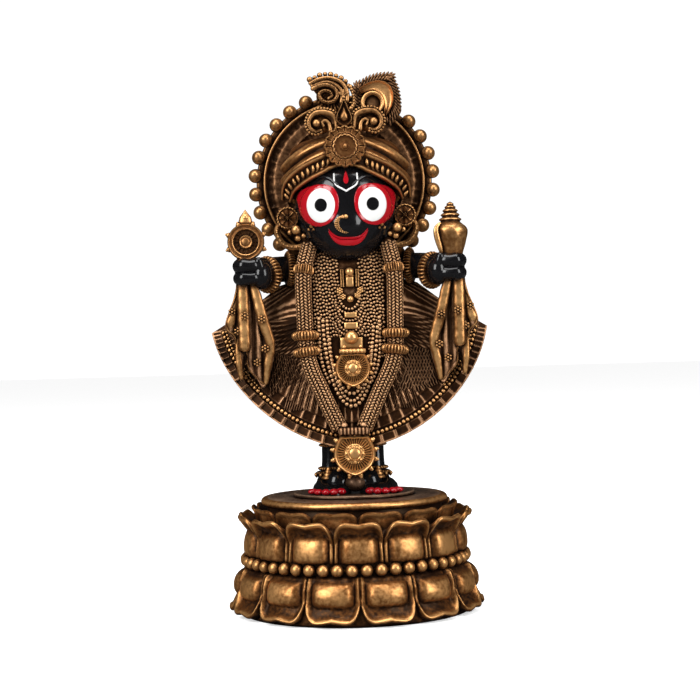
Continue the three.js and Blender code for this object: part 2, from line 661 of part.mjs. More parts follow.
function crest() {
  const { y, bottom, top, halfWidth, thickness } = CREST;
  const shoulder = mix(bottom, top, 0.5);
  const tear = [
    [-halfWidth, bottom],
    [-halfWidth, shoulder],
    [0.2, top],
    [halfWidth, shoulder],
    [halfWidth, bottom],
  ];
  const outline = new THREE.Shape(tear.map((p) => new THREE.Vector2(...p)));
  const pieces = [plate(outline, y, thickness), bead(0.2, 1 - y, top, 1)];
  for (const side of both) {
    pieces.push(boss([side * SCROLL.x, y, SCROLL.z], SCROLL));
  }
  return pieces;
}

function halo() {
  const { x, z, y, radius, rim, back, panels, panel } = HALO;
  const ribbed = (a) => (Math.round((a / TURN) * 2 * panels) % 2 ? panel : 0);
  const rows = [
    () => [0, -back],
    () => [radius - 2, -back],
    () => [radius, 0],
    () => [radius - 1.2, rim],
    (a) => [radius - 3, ribbed(a)],
    (a) => [radius * 0.66, ribbed(a)],
    () => [0, 0],
  ];
  const beads = count(HALO_BEADS.count).map((i) => {
    const a = (i / HALO_BEADS.count) * TURN;
    const r = HALO_BEADS.circle;
    return bead(x + r * Math.sin(a), -y, z + r * Math.cos(a), HALO_BEADS.radius, a);
  });
  return [facing(rows, panels * 2, [x, y, z]), ...beads];
}

function featherAndPlume() {
  const eye = FEATHER_EYE;
  const arc = FEATHER_ARC.map(([x, z]) => [x, -FEATHER.y - 0.2, z]);
  const pieces = [
    plate(smoothOutline(FEATHER_EDGE, FEATHER.fineness), FEATHER.y, FEATHER.thickness),
    bar(arc, FEATHER.arc, 6, 4),
    ball([eye.x, -FEATHER.y, eye.z], [eye.radius, eye.standOut, eye.radius], 10, 4),
    plate(smoothOutline(PLUME_EDGE, PLUME.fineness), PLUME.y, PLUME.thickness),
    boss([CURL.x, PLUME.y + CURL.standOut, CURL.z], CURL),
  ];
  // The row of beads that tops the plume sets the figure's height.
  for (const i of count(PLUME.beads)) {
    const t = i / (PLUME.beads - 1);
    const z = SHARES - PLUME.bead - PLUME.droop * (t - 0.4) ** 2;
    pieces.push(bead(mix(PLUME.from, PLUME.to, t), -PLUME.y + 1, z, PLUME.bead));
  }
  return pieces;
}

function jagannathFigure() {
  return join([
    ...feetAndLegs(),
    skirt(),
    trunk(),
    ...garlands(),
    ...arms(),
    ...discus(),
    ...conch(),
    kerchief(-1),
    kerchief(1),
    ...head(),
    ...turban(),
    ...crest(),
    ...halo(),
    ...featherAndPlume(),
  ]);
}

function node(name, whole, finish) {
  const { vertProperties, triVerts } = whole.getMesh();
  const geometry = new THREE.BufferGeometry()
    .setAttribute("position", new THREE.BufferAttribute(new Float32Array(vertProperties), 3))
    .setIndex(new THREE.BufferAttribute(new Uint32Array(triVerts), 1));
  geometry.computeVertexNormals();
  const mesh = new THREE.Mesh(geometry, new THREE.MeshStandardMaterial(finish));
  mesh.name = name;
  return mesh;
}

const base = lotusPlinth();
const antiqueGold = { color: 0x9a6a2c, roughness: 0.42, metalness: 0.75 };
const plinth = node("lotus_plinth", base.body, antiqueGold);
const figure = node("jagannath_figure", jagannathFigure(), antiqueGold);
figure.scale.setScalar(FIGURE_HEIGHT / SHARES);
figure.position.z = base.top + GLUE_GAP;

const statue = new THREE.Group();
statue.add(plinth, figure);
export default statue;
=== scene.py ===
"""A Jagannath figure on a lotus plinth: its carving and paint, the light and the camera."""

import logging
import math
from collections.abc import Callable, Sequence
from dataclasses import dataclass, replace
from enum import Enum
from functools import lru_cache

import bpy
import numpy as np
from mathutils import Matrix, Vector


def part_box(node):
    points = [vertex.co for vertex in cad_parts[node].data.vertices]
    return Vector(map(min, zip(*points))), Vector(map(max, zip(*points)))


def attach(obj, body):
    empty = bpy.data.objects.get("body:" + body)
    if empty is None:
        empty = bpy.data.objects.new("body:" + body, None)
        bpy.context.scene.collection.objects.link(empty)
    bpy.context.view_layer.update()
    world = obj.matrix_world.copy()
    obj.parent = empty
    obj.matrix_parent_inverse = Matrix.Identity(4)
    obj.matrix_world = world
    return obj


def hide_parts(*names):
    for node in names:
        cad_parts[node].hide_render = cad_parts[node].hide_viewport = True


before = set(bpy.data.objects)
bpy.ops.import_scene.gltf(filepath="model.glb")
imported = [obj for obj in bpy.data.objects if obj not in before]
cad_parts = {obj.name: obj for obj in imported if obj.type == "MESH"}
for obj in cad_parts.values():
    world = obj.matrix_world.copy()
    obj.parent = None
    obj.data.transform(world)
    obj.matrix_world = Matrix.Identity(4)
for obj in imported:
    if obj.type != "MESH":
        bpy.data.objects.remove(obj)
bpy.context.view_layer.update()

Array = np.ndarray
Number = float | np.ndarray
Colour = tuple[float, float, float]
Point = tuple[float, float, float]
Socket = bpy.types.NodeSocket
Spot = tuple[float, float]
Line = tuple[Spot, ...]
Table = tuple[tuple[float, ...], ...]

log = logging.getLogger("jagannath_figure")

TURN = math.tau
SHARES = 141.6  # the figure's height is laid out in this many shares
SIDES = (-1.0, 1.0)
TALLY: list[int] = []  # the triangles of each piece


class Slot(Enum):
    """The record's material slots."""

    GOLD = "antique_gold"
    BLACK = "black_gloss"
    RED = "red_paint"
    WHITE = "white_paint"


class Node(Enum):
    """The solids that the pieces stand for."""

    PLINTH = "lotus_plinth"
    FIGURE = "jagannath_figure"


# Numbers and routes.


def mix(a: Number, b: Number, t: Number) -> Number:
    """Goes from a to b as t goes from 0 to 1."""
    return a + (b - a) * t


def ease(low: float, high: float, x: Number) -> Array:
    """Rises smoothly from 0 at low to 1 at high.

    Args:
        low: Where the rise starts.
        high: Where it ends.
        x: The places to look at.

    Returns:
        The share of the rise at each place.
    """
    t = np.clip((np.asarray(x, float) - low) / (high - low), 0.0, 1.0)
    return t * t * (3.0 - 2.0 * t)


def crest(x: Number, width: float) -> Array:
    """A soft ridge that is 1 on a line and falls away to either side."""
    return np.exp(-((np.asarray(x, float) / width) ** 2))


def band(x: Number, low: float, high: float, edge: float) -> Array:
    """1 between low and high, with soft edges."""
    return ease(low - edge, low + edge, x) * (1.0 - ease(high - edge, high + edge, x))


def dome(x: Number, reach: float) -> Array:
    """A round dome of height 1 that ends at its reach."""
    return np.sqrt(np.clip(1 - (x / reach) ** 2, 0, 1))


def follow(x: Number, profile: Sequence[Spot]) -> Array:
    """The height of a profile, given by its corners, at each place."""
    return np.interp(x, *zip(*profile))


def angles(count: int, shift: float = 0.0) -> Array:
    """So many angles evenly round a circle, shifted by a share of a step."""
    return (np.arange(count) + shift) / count * TURN


def xyz(x: Number, y: Number, z: Number) -> Array:
    """Points from their coordinates, which may be single numbers."""
    return np.stack(np.broadcast_arrays(x, y, z), -1)


def stand(flat: Array, depth: Number) -> Array:
    """Places given across and up, stood at a depth."""
    return xyz(flat[..., 0], depth, flat[..., 1])


def unit(rows: Array) -> Array:
    """The directions of the rows, each 1 long."""
    return rows / np.linalg.norm(rows, axis=1, keepdims=True)


def side_name(side: float) -> str:
    """The name of a side: -1 is the left and 1 the right."""
    return "left" if side < 0 else "right"


def oval(a: Array, wide: float, tall: float) -> Array:
    """An oval's reach at each angle from straight up, by its half axes."""
    return 1 / np.hypot(np.sin(a) / wide, np.cos(a) / tall)


def upright_ring(centre: Point, radius: Number, a: Array) -> Array:
    """Places on an upright circle, by their angles from its top."""
    return xyz(centre[0] + radius * np.sin(a), centre[1], centre[2] + radius * np.cos(a))


def level_ring(radius: Number, a: Array, z: Number) -> Array:
    """Places on a level circle round the upright axis, by their angles from the front."""
    return xyz(radius * np.sin(a), radius * np.cos(a), z)


def along(points: Sequence[Sequence[float]], steps: int, closed: bool = False) -> Array:
    """A smooth route through the points.

    Args:
        points: The points it goes through.
        steps: How many places to give, evenly apart.
        closed: Whether it comes back to its start.

    Returns:
        The places, one to a row.
    """
    p = np.asarray(points, float)
    n = len(p)
    ends = (p[-1], p, p[0], p[1]) if closed else (2 * p[0] - p[1], p, 2 * p[-1] - p[-2])
    padded = np.vstack(ends)
    fine = []
    for i in range(n if closed else n - 1):
        a, b, c, d = padded[i : i + 4]
        t = np.linspace(0, 1, 24, endpoint=False)[:, None]
        bend, twist = 2 * a - 5 * b + 4 * c - d, 3 * b - a - 3 * c + d
        fine.append(0.5 * (2 * b + (c - a) * t + bend * t**2 + twist * t**3))
    fine.append(p[:1] if closed else p[-1:])
    route = np.vstack(fine)
    far = np.concatenate([[0], np.cumsum(np.linalg.norm(np.diff(route, axis=0), axis=1))])
    stops = np.linspace(0, far[-1], steps, endpoint=not closed)
    return np.stack([np.interp(stops, far, route[:, k]) for k in range(p.shape[1])], -1)


def length_of(route: Array) -> float:
    """The length of a route."""
    return float(np.linalg.norm(np.diff(route, axis=0), axis=1).sum())


def frames(route: Array, up: Point = (0.0, 1.0, 0.0)) -> tuple[Array, Array, Array]:
    """Directions that travel with a route.

    Args:
        route: The places along it.
        up: The direction that "over" keeps closest to.

    Returns:
        Along the route, across it and over it, each one to a row.
    """
    ahead = np.gradient(route, axis=0)
    ahead /= np.linalg.norm(ahead, axis=1, keepdims=True) + 1e-12
    across = np.cross(ahead, np.asarray(up, float))
    across /= np.linalg.norm(across, axis=1, keepdims=True) + 1e-12
    return ahead, across, np.cross(across, ahead)


def stand_out(height: Array, reach: int, gain: float, wrap: bool = False) -> Array:
    """How far each place of a height field stands out of its neighbourhood.

    Args:
        height: The heights, in shares.
        reach: How many places the neighbourhood goes to each side.
        gain: How strongly it counts.
        wrap: Whether the columns close on themselves.

    Returns:
        0 in a recess, about a half on the level and 1 on what stands out.
    """
    mean = height.astype(float)
    for axis in (0, 1):
        mode = "wrap" if wrap and axis == 1 else "edge"
        widths = [(reach, reach) if k == axis else (0, 0) for k in (0, 1)]
        wide = np.cumsum(np.pad(mean, widths, mode=mode), axis=axis)
        zero = np.zeros_like(np.take(wide, [0], axis=axis))
        wide = np.concatenate([zero, wide], axis=axis)
        size = height.shape[axis]
        ahead = np.take(wide, np.arange(2 * reach + 1, 2 * reach + 1 + size), axis=axis)
        mean = (ahead - np.take(wide, np.arange(size), axis=axis)) / (2 * reach + 1)
    return np.clip(0.5 + gain * (height - mean), 0.0, 1.0)


@lru_cache(maxsize=None)
def stone(detail: int) -> tuple[Array, Array]:
    """A round stone of radius 1.

    Args:
        detail: How often its 20 faces are halved each way.

    Returns:
        Its points and its triangles.
    """
    g = (1 + 5**0.5) / 2
    points = [(-1, g, 0), (1, g, 0), (-1, -g, 0), (1, -g, 0), (0, -1, g), (0, 1, g)]
    points += [(0, -1, -g), (0, 1, -g), (g, 0, -1), (g, 0, 1), (-g, 0, -1), (-g, 0, 1)]
    faces = [(0, 11, 5), (0, 5, 1), (0, 1, 7), (0, 7, 10), (0, 10, 11), (1, 5, 9), (5, 11, 4)]
    faces += [(11, 10, 2), (10, 7, 6), (7, 1, 8), (3, 9, 4), (3, 4, 2), (3, 2, 6), (3, 6, 8)]
    faces += [(3, 8, 9), (4, 9, 5), (2, 4, 11), (6, 2, 10), (8, 6, 7), (9, 8, 1)]
    for _ in range(detail):
        halves: dict[tuple[int, int], int] = {}
        finer = []
        for face in faces:
            ring = []
            for a, b in zip(face, face[1:] + face[:1]):
                edge = (min(a, b), max(a, b))
                if edge not in halves:
                    halves[edge] = len(points)
                    points.append(tuple((u + v) / 2 for u, v in zip(points[a], points[b])))
                ring.append(halves[edge])
            a, b, c = face
            finer += [(a, ring[0], ring[2]), (b, ring[1], ring[0]), (c, ring[2], ring[1]), tuple(ring)]
        faces = finer
    return unit(np.asarray(points, float)), np.asarray(faces)


# Finishes.


class Graph:
    """A node tree while it is being laid out."""

    def __init__(self, tree: bpy.types.NodeTree) -> None:
        """Takes the tree to lay out."""
        self.tree = tree

    def add(self, kind: str, **settings: object) -> bpy.types.Node:
        """Adds a node with its settings.

        Args:
            kind: Its type, without the words that every shader node starts with.
            settings: Its own properties.

        Returns:
            The node.
        """
        node = self.tree.nodes.new(kind if kind.startswith("Node") else "ShaderNode" + kind)
        for key, value in settings.items():
            setattr(node, key, value)
        return node

    def feed(self, node: bpy.types.Node, values: dict[str | int, object]) -> None:
        """Links a node's inputs to other sockets, or sets their values.

        Args:
            node: The node.
            values: A socket, number or colour for each input by its name or place.
        """
        for key, value in values.items():
            socket = node.inputs[key]
            if isinstance(value, Socket):
                self.tree.links.new(value, socket)
            elif isinstance(value, tuple):
                socket.default_value = (*value, 1.0)
            else:
                socket.default_value = value

    def maths(self, operation: str, *numbers: object, clamp: bool = True) -> Socket:
        """Works out one sum.

        Args:
            operation: Which sum it is.
            numbers: Its numbers or sockets.
            clamp: Whether an ADD or a MULTIPLY_ADD is held between 0 and 1.

        Returns:
            The result's socket.
        """
        held = clamp and operation in ("ADD", "MULTIPLY_ADD")
        node = self.add("Math", operation=operation, use_clamp=held)
        self.feed(node, dict(enumerate(numbers)))
        return node.outputs[0]

    def noise(self, where: Socket, scale: object, detail: float) -> Socket:
        """Lays a soft noise over the surface, about 0.5 on average.

        Args:
            where: The place on the surface.
            scale: How fine it is.
            detail: How many finer layers it has.

        Returns:
            The noise's socket.
        """
        node = self.add("TexNoise")
        self.feed(node, {"Vector": where, "Scale": scale, "Detail": detail})
        return node.outputs["Fac"]

    def blend(self, share: object, a: object, b: object) -> Socket:
        """Blends two colours.

        Args:
            share: The share of the second.
            a: The first colour.
            b: The second.

        Returns:
            The colour's socket.
        """
        node = self.add("Mix", data_type="RGBA")
        self.feed(node, {0: share, 6: a, 7: b})
        return node.outputs[2]

    def ramp(self, value: Socket, low: float, high: float) -> Socket:
        """Rises smoothly from 0 to 1.

        Args:
            value: What it follows.
            low: Where the rise starts.
            high: Where it ends.

        Returns:
            The share's socket.
        """
        node = self.add("MapRange", interpolation_type="SMOOTHSTEP")
        self.feed(node, {"Value": value, "From Min": low, "From Max": high})
        return node.outputs[0]


def new_group(
    name: str, given: dict[str, float | Colour], put_out: Sequence[str]
) -> tuple[Graph, bpy.types.NodeOutputs, bpy.types.Node]:
    """Starts a node group with named sockets.

    Args:
        name: The group's name.
        given: Each input's name and value, a number or a colour.
        put_out: Each output's name. The one named Color is a colour.

    Returns:
        The graph of its inside, its given sockets and its output node.
    """
    tree = bpy.data.node_groups.new(name, "ShaderNodeTree")
    for key, value in given.items():
        colour = isinstance(value, tuple)
        kind = "NodeSocketColor" if colour else "NodeSocketFloat"
        socket = tree.interface.new_socket(key, in_out="INPUT", socket_type=kind)
        socket.default_value = (*value, 1.0) if colour else value
    for key in put_out:
        kind = "NodeSocketColor" if key == "Color" else "NodeSocketFloat"
        tree.interface.new_socket(key, in_out="OUTPUT", socket_type=kind)
    graph = Graph(tree)
    return graph, graph.add("NodeGroupInput").outputs, graph.add("NodeGroupOutput")


@lru_cache(maxsize=None)
def aged_relief() -> bpy.types.NodeTree:
    """Metal paint over dark resin: dark in the recesses, bright where the rub lifts what stands out. The dark
    of the recesses follows the occlusion: partly the dark wash in the hollows, partly painted shade.

    Returns:
        The node group.
    """
    graph, given, made = new_group(
        "aged_relief",
        {
            "RubAndHighlight": 0.5,
            "Open": 1.0,
            "Bright": (0.7, 0.45, 0.15),
            "Middle": (0.3, 0.14, 0.03),
            "Dark": (0.02, 0.008, 0.003),
            "Rub": 0.0,
            "Patina": 0.4,
            "Grain": 500.0,
            "Gloss": 0.35,
            "Metal": 0.6,
        },
        ("Color", "Roughness", "Metal", "Height"),
    )
    where = graph.add("TexCoord").outputs["Object"]
    broad = graph.noise(where, 120.0, 4.0)
    fine = graph.noise(where, given["Grain"], 3.0)
    # Ambient occlusion darkens the colour in the recesses: it stands for the dark wash the casting has in its
    # hollows, and it also paints shade into every crevice.
    hollow = graph.maths("POWER", given["Open"], 2.0)
    rub_and_painted_shade = graph.maths("MULTIPLY", graph.maths("MULTIPLY_ADD", given["RubAndHighlight"], 0.7, 0.25), hollow)
    patchy = graph.maths("MULTIPLY", graph.maths("SUBTRACT", broad, 0.5), given["Patina"])
    tone = graph.maths("ADD", graph.maths("ADD", rub_and_painted_shade, given["Rub"]), patchy)
    speck = graph.maths("MULTIPLY", graph.maths("SUBTRACT", fine, 0.5), given["Patina"])
    shown = graph.maths("ADD", tone, speck)
    painted = graph.ramp(shown, 0.14, 0.56)
    bright_share = graph.ramp(shown, 0.45, 0.95)
    base = graph.blend(painted, given["Dark"], given["Middle"])
    looks = {
        "Color": graph.blend(bright_share, base, given["Bright"]),
        "Roughness": graph.maths("MULTIPLY_ADD", fine, 0.2, given["Gloss"]),
        "Metal": graph.maths("MULTIPLY", painted, given["Metal"]),
        "Height": graph.maths("MULTIPLY_ADD", fine, 0.5, graph.maths("MULTIPLY", broad, 0.3)),
    }
    graph.feed(made, looks)
    return graph.tree


@lru_cache(maxsize=None)
def hand_paint() -> bpy.types.NodeTree:
    """Glossy paint laid on by hand, a little uneven, thin and dusty here and there.

    Returns:
        The node group.
    """
    graph, given, made = new_group(
        "hand_paint",
        {
            "Paint": (0.5, 0.5, 0.5),
            "Thin": (0.4, 0.4, 0.4),
            "Unevenness": 0.4,
            "Stroke": 300.0,
            "Gloss": 0.15,
        },
        ("Color", "Roughness", "Height"),
    )
    where = graph.add("TexCoord").outputs["Object"]
    broad = graph.noise(where, given["Stroke"], 3.0)
    fine = graph.noise(where, 1800.0, 2.0)
    patch = graph.maths("MULTIPLY", graph.maths("POWER", broad, 2.0), given["Unevenness"])
    looks = {
        "Color": graph.blend(patch, given["Paint"], given["Thin"]),
        "Roughness": graph.maths("MULTIPLY_ADD", broad, 0.16, given["Gloss"]),
        "Height": graph.maths("MULTIPLY_ADD", fine, 0.3, graph.maths("MULTIPLY", broad, 0.7)),
    }
    graph.feed(made, looks)
    return graph.tree


def new_material(name: str) -> tuple[bpy.types.Material, Graph, bpy.types.Node]:
    """Starts a material.

    Args:
        name: Its name.

    Returns:
        The material, its graph and its shader.
    """
    material = bpy.data.materials.new(name)
    material.use_nodes = True
    return material, Graph(material.node_tree), material.node_tree.nodes["Principled BSDF"]


@dataclass(frozen=True)
class Coating:
    """What every finish has: a node group gives it its colour, gloss and fine relief."""

    name: str
    slot: Slot = Slot.GOLD
    bump: float = 0.25
    grain_height: float = 0.0001

    def lay(
        self, tree: bpy.types.NodeTree, shine: dict[str | int, object]
    ) -> tuple[bpy.types.Material, Graph, bpy.types.Node]:
        """Starts the finish's material round a node group.

        Args:
            tree: The node group.
            shine: The shader's own values.

        Returns:
            The material, its graph and the group's node.
        """
        made, graph, shader = new_material(self.name)
        group, relief = graph.add("Group", node_tree=tree), graph.add("Bump")
        look = group.outputs
        held = {"Distance": self.grain_height, "Strength": self.bump, "Height": look["Height"]}
        graph.feed(relief, held)
        graph.feed(shader, {"Base Color": look["Color"], "Roughness": look["Roughness"]})
        graph.feed(shader, {"Normal": relief.outputs["Normal"], **shine})
        if "Metal" in look:
            graph.feed(shader, {"Metallic": look["Metal"]})
        return made, graph, group


@dataclass(frozen=True)
class AgedGold(Coating):
    """Antique gold paint. Its colours run from what stands out down to the recesses."""

    bright: Colour = (0.66, 0.35, 0.135)
    middle: Colour = (0.155, 0.058, 0.017)
    dark: Colour = (0.007, 0.0026, 0.0014)
    rub: float = 0.0
    patina: float = 0.35
    grain: float = 900.0
    gloss: float = 0.28
    metal: float = 0.85
    sheen: float = 0.2
    tint: Colour = (1.0, 0.6, 0.36)
    shade_reach: float = 0.0016
    shade_rays: int = 6

    def material(self) -> bpy.types.Material:
        """The finish as a material.

        Returns:
            The material, with colour, gloss, metal and grain over the surface.
        """
        shine = {"Specular IOR Level": self.sheen, "Specular Tint": self.tint}
        made, graph, group = self.lay(aged_relief(), shine)
        # Ambient occlusion, read into the colour: the dark wash in the hollows, and painted shade in the
        # crevices.
        open_air = graph.add("AmbientOcclusion", samples=self.shade_rays)
        graph.feed(open_air, {"Distance": self.shade_reach})
        values = {
            "RubAndHighlight": graph.add("Attribute", attribute_name="rub_and_highlight").outputs["Fac"],
            "Open": open_air.outputs["AO"],
            "Bright": self.bright,
            "Middle": self.middle,
            "Dark": self.dark,
            "Rub": self.rub,
            "Patina": self.patina,
            "Grain": self.grain,
            "Gloss": self.gloss,
            "Metal": self.metal,
        }
        graph.feed(group, values)
        return made


@dataclass(frozen=True)
class GlossPaint(Coating):
    """Glossy hand paint."""

    paint: Colour = (0.5, 0.5, 0.5)
    thin: Colour = (0.4, 0.4, 0.4)
    unevenness: float = 0.4
    stroke: float = 260.0
    gloss: float = 0.08
    coat: float = 0.3
    coat_gloss: float = 0.06
    sheen: float = 0.3
    bump: float = 0.3

    def material(self) -> bpy.types.Material:
        """The finish as a material.

        Returns:
            The material, with colour, gloss and brush marks over the surface.
        """
        shine = {
            "Specular IOR Level": self.sheen,
            "Coat Weight": self.coat,
            "Coat Roughness": self.coat_gloss,
        }
        made, graph, group = self.lay(hand_paint(), shine)
        values = {
            "Paint": self.paint,
            "Thin": self.thin,
            "Unevenness": self.unevenness,
            "Stroke": self.stroke,
            "Gloss": self.gloss,
        }
        graph.feed(group, values)
        return made


class Finish(Enum):
    """Every finish on the object."""

    GILT = AgedGold("antique_gilt")
    BRIGHT_GILT = AgedGold("bright_gilt", rub=0.1, patina=0.4, gloss=0.26)
    BROWN_GILT = AgedGold(
        "brown_gilt", bright=(0.46, 0.235, 0.09), middle=(0.075, 0.028, 0.009), patina=0.75, gloss=0.3
    )
    POLISHED = AgedGold(
        "polished_gilt",
        bright=(0.74, 0.41, 0.16),
        middle=(0.36, 0.17, 0.055),
        rub=0.2,
        patina=0.25,
        gloss=0.24,
    )
    CAST_CLOTH = AgedGold(
        "kerchief_gilt", bright=(0.68, 0.37, 0.145), middle=(0.17, 0.07, 0.021), patina=0.45, gloss=0.24
    )
    SHADOW = AgedGold(
        "shadow_resin",
        bright=(0.24, 0.12, 0.055),
        middle=(0.035, 0.014, 0.006),
        dark=(0.005, 0.002, 0.001),
        gloss=0.3,
        metal=0.55,
    )
    BEADWORK = AgedGold(
        "beadwork_gilt",
        bright=(0.62, 0.355, 0.175),
        middle=(0.13, 0.056, 0.024),
        rub=0.02,
        patina=0.3,
        shade_reach=0.0009,
        gloss=0.24,
        metal=0.7,
    )
    BRONZE = AgedGold(
        "plinth_gilt",
        bright=(0.58, 0.3, 0.11),
        middle=(0.165, 0.062, 0.017),
        rub=0.02,
        patina=0.7,
        shade_reach=0.0035,
        gloss=0.3,
    )
    UMBER = AgedGold(
        "umber_resin",
        bright=(0.46, 0.25, 0.13),
        middle=(0.032, 0.012, 0.0045),
        dark=(0.004, 0.0017, 0.001),
        gloss=0.34,
        metal=0.55,
        sheen=0.08,
    )
    SATIN_BROWN = AgedGold(
        "satin_brown",
        bright=(0.2, 0.125, 0.078),
        middle=(0.075, 0.04, 0.024),
        dark=(0.014, 0.007, 0.004),
        patina=0.8,
        shade_reach=0.006,
        gloss=0.2,
        metal=0.3,
    )
    BLACK = GlossPaint(
        "black_paint",
        Slot.BLACK,
        paint=(0.003, 0.003, 0.0035),
        thin=(0.006, 0.005, 0.005),
        coat=0.25,
        sheen=0.2,
    )
    RED = GlossPaint("red_paint", Slot.RED, paint=(0.24, 0.003, 0.007), thin=(0.24, 0.002, 0.006))
    WHITE = GlossPaint("white_paint", Slot.WHITE, paint=(0.5, 0.5, 0.49), thin=(0.42, 0.41, 0.4))


@lru_cache(maxsize=None)
def material_of(finish: Finish) -> bpy.types.Material:
    """The material of a finish, made once."""
    return finish.value.material()


# Carving.


@dataclass(frozen=True)
class Place:
    """Where a sub-assembly stands. Its own frame is x across, y forward and z up, in shares."""

    node: Node
    share: float
    base: float
    turn: float = 0.0
    aside: float = 0.0

    def moved(self, aside: float) -> "Place":
        """The same place, moved to the right by so many shares."""
        return replace(self, aside=aside)

    def metres(self, points: Array) -> Array:
        """The points in the shared frame.

        Args:
            points: The points, in shares.

        Returns:
            The points, in metres.
        """
        x, y, z = points[..., 0] + self.aside, points[..., 1], points[..., 2]
        c, s = math.cos(math.radians(self.turn)), math.sin(math.radians(self.turn))
        turned = xyz(x * c + y * s, x * s - y * c, z)
        return turned * self.share + (0.0, 0.0, self.base)

    def carve(
        self,
        name: str,
        finish: Finish,
        form: Callable[["Carving"], None],
        sharp: float = 55,
    ) -> None:
        """Carves a form and makes it a piece.

        Args:
            name: The piece's name.
            finish: Its finish.
            form: What adds the form to a carving.
            sharp: The angle from which an edge stays sharp, in degrees.
        """
        made = Carving(self)
        form(made)
        made.piece(name, finish, sharp)


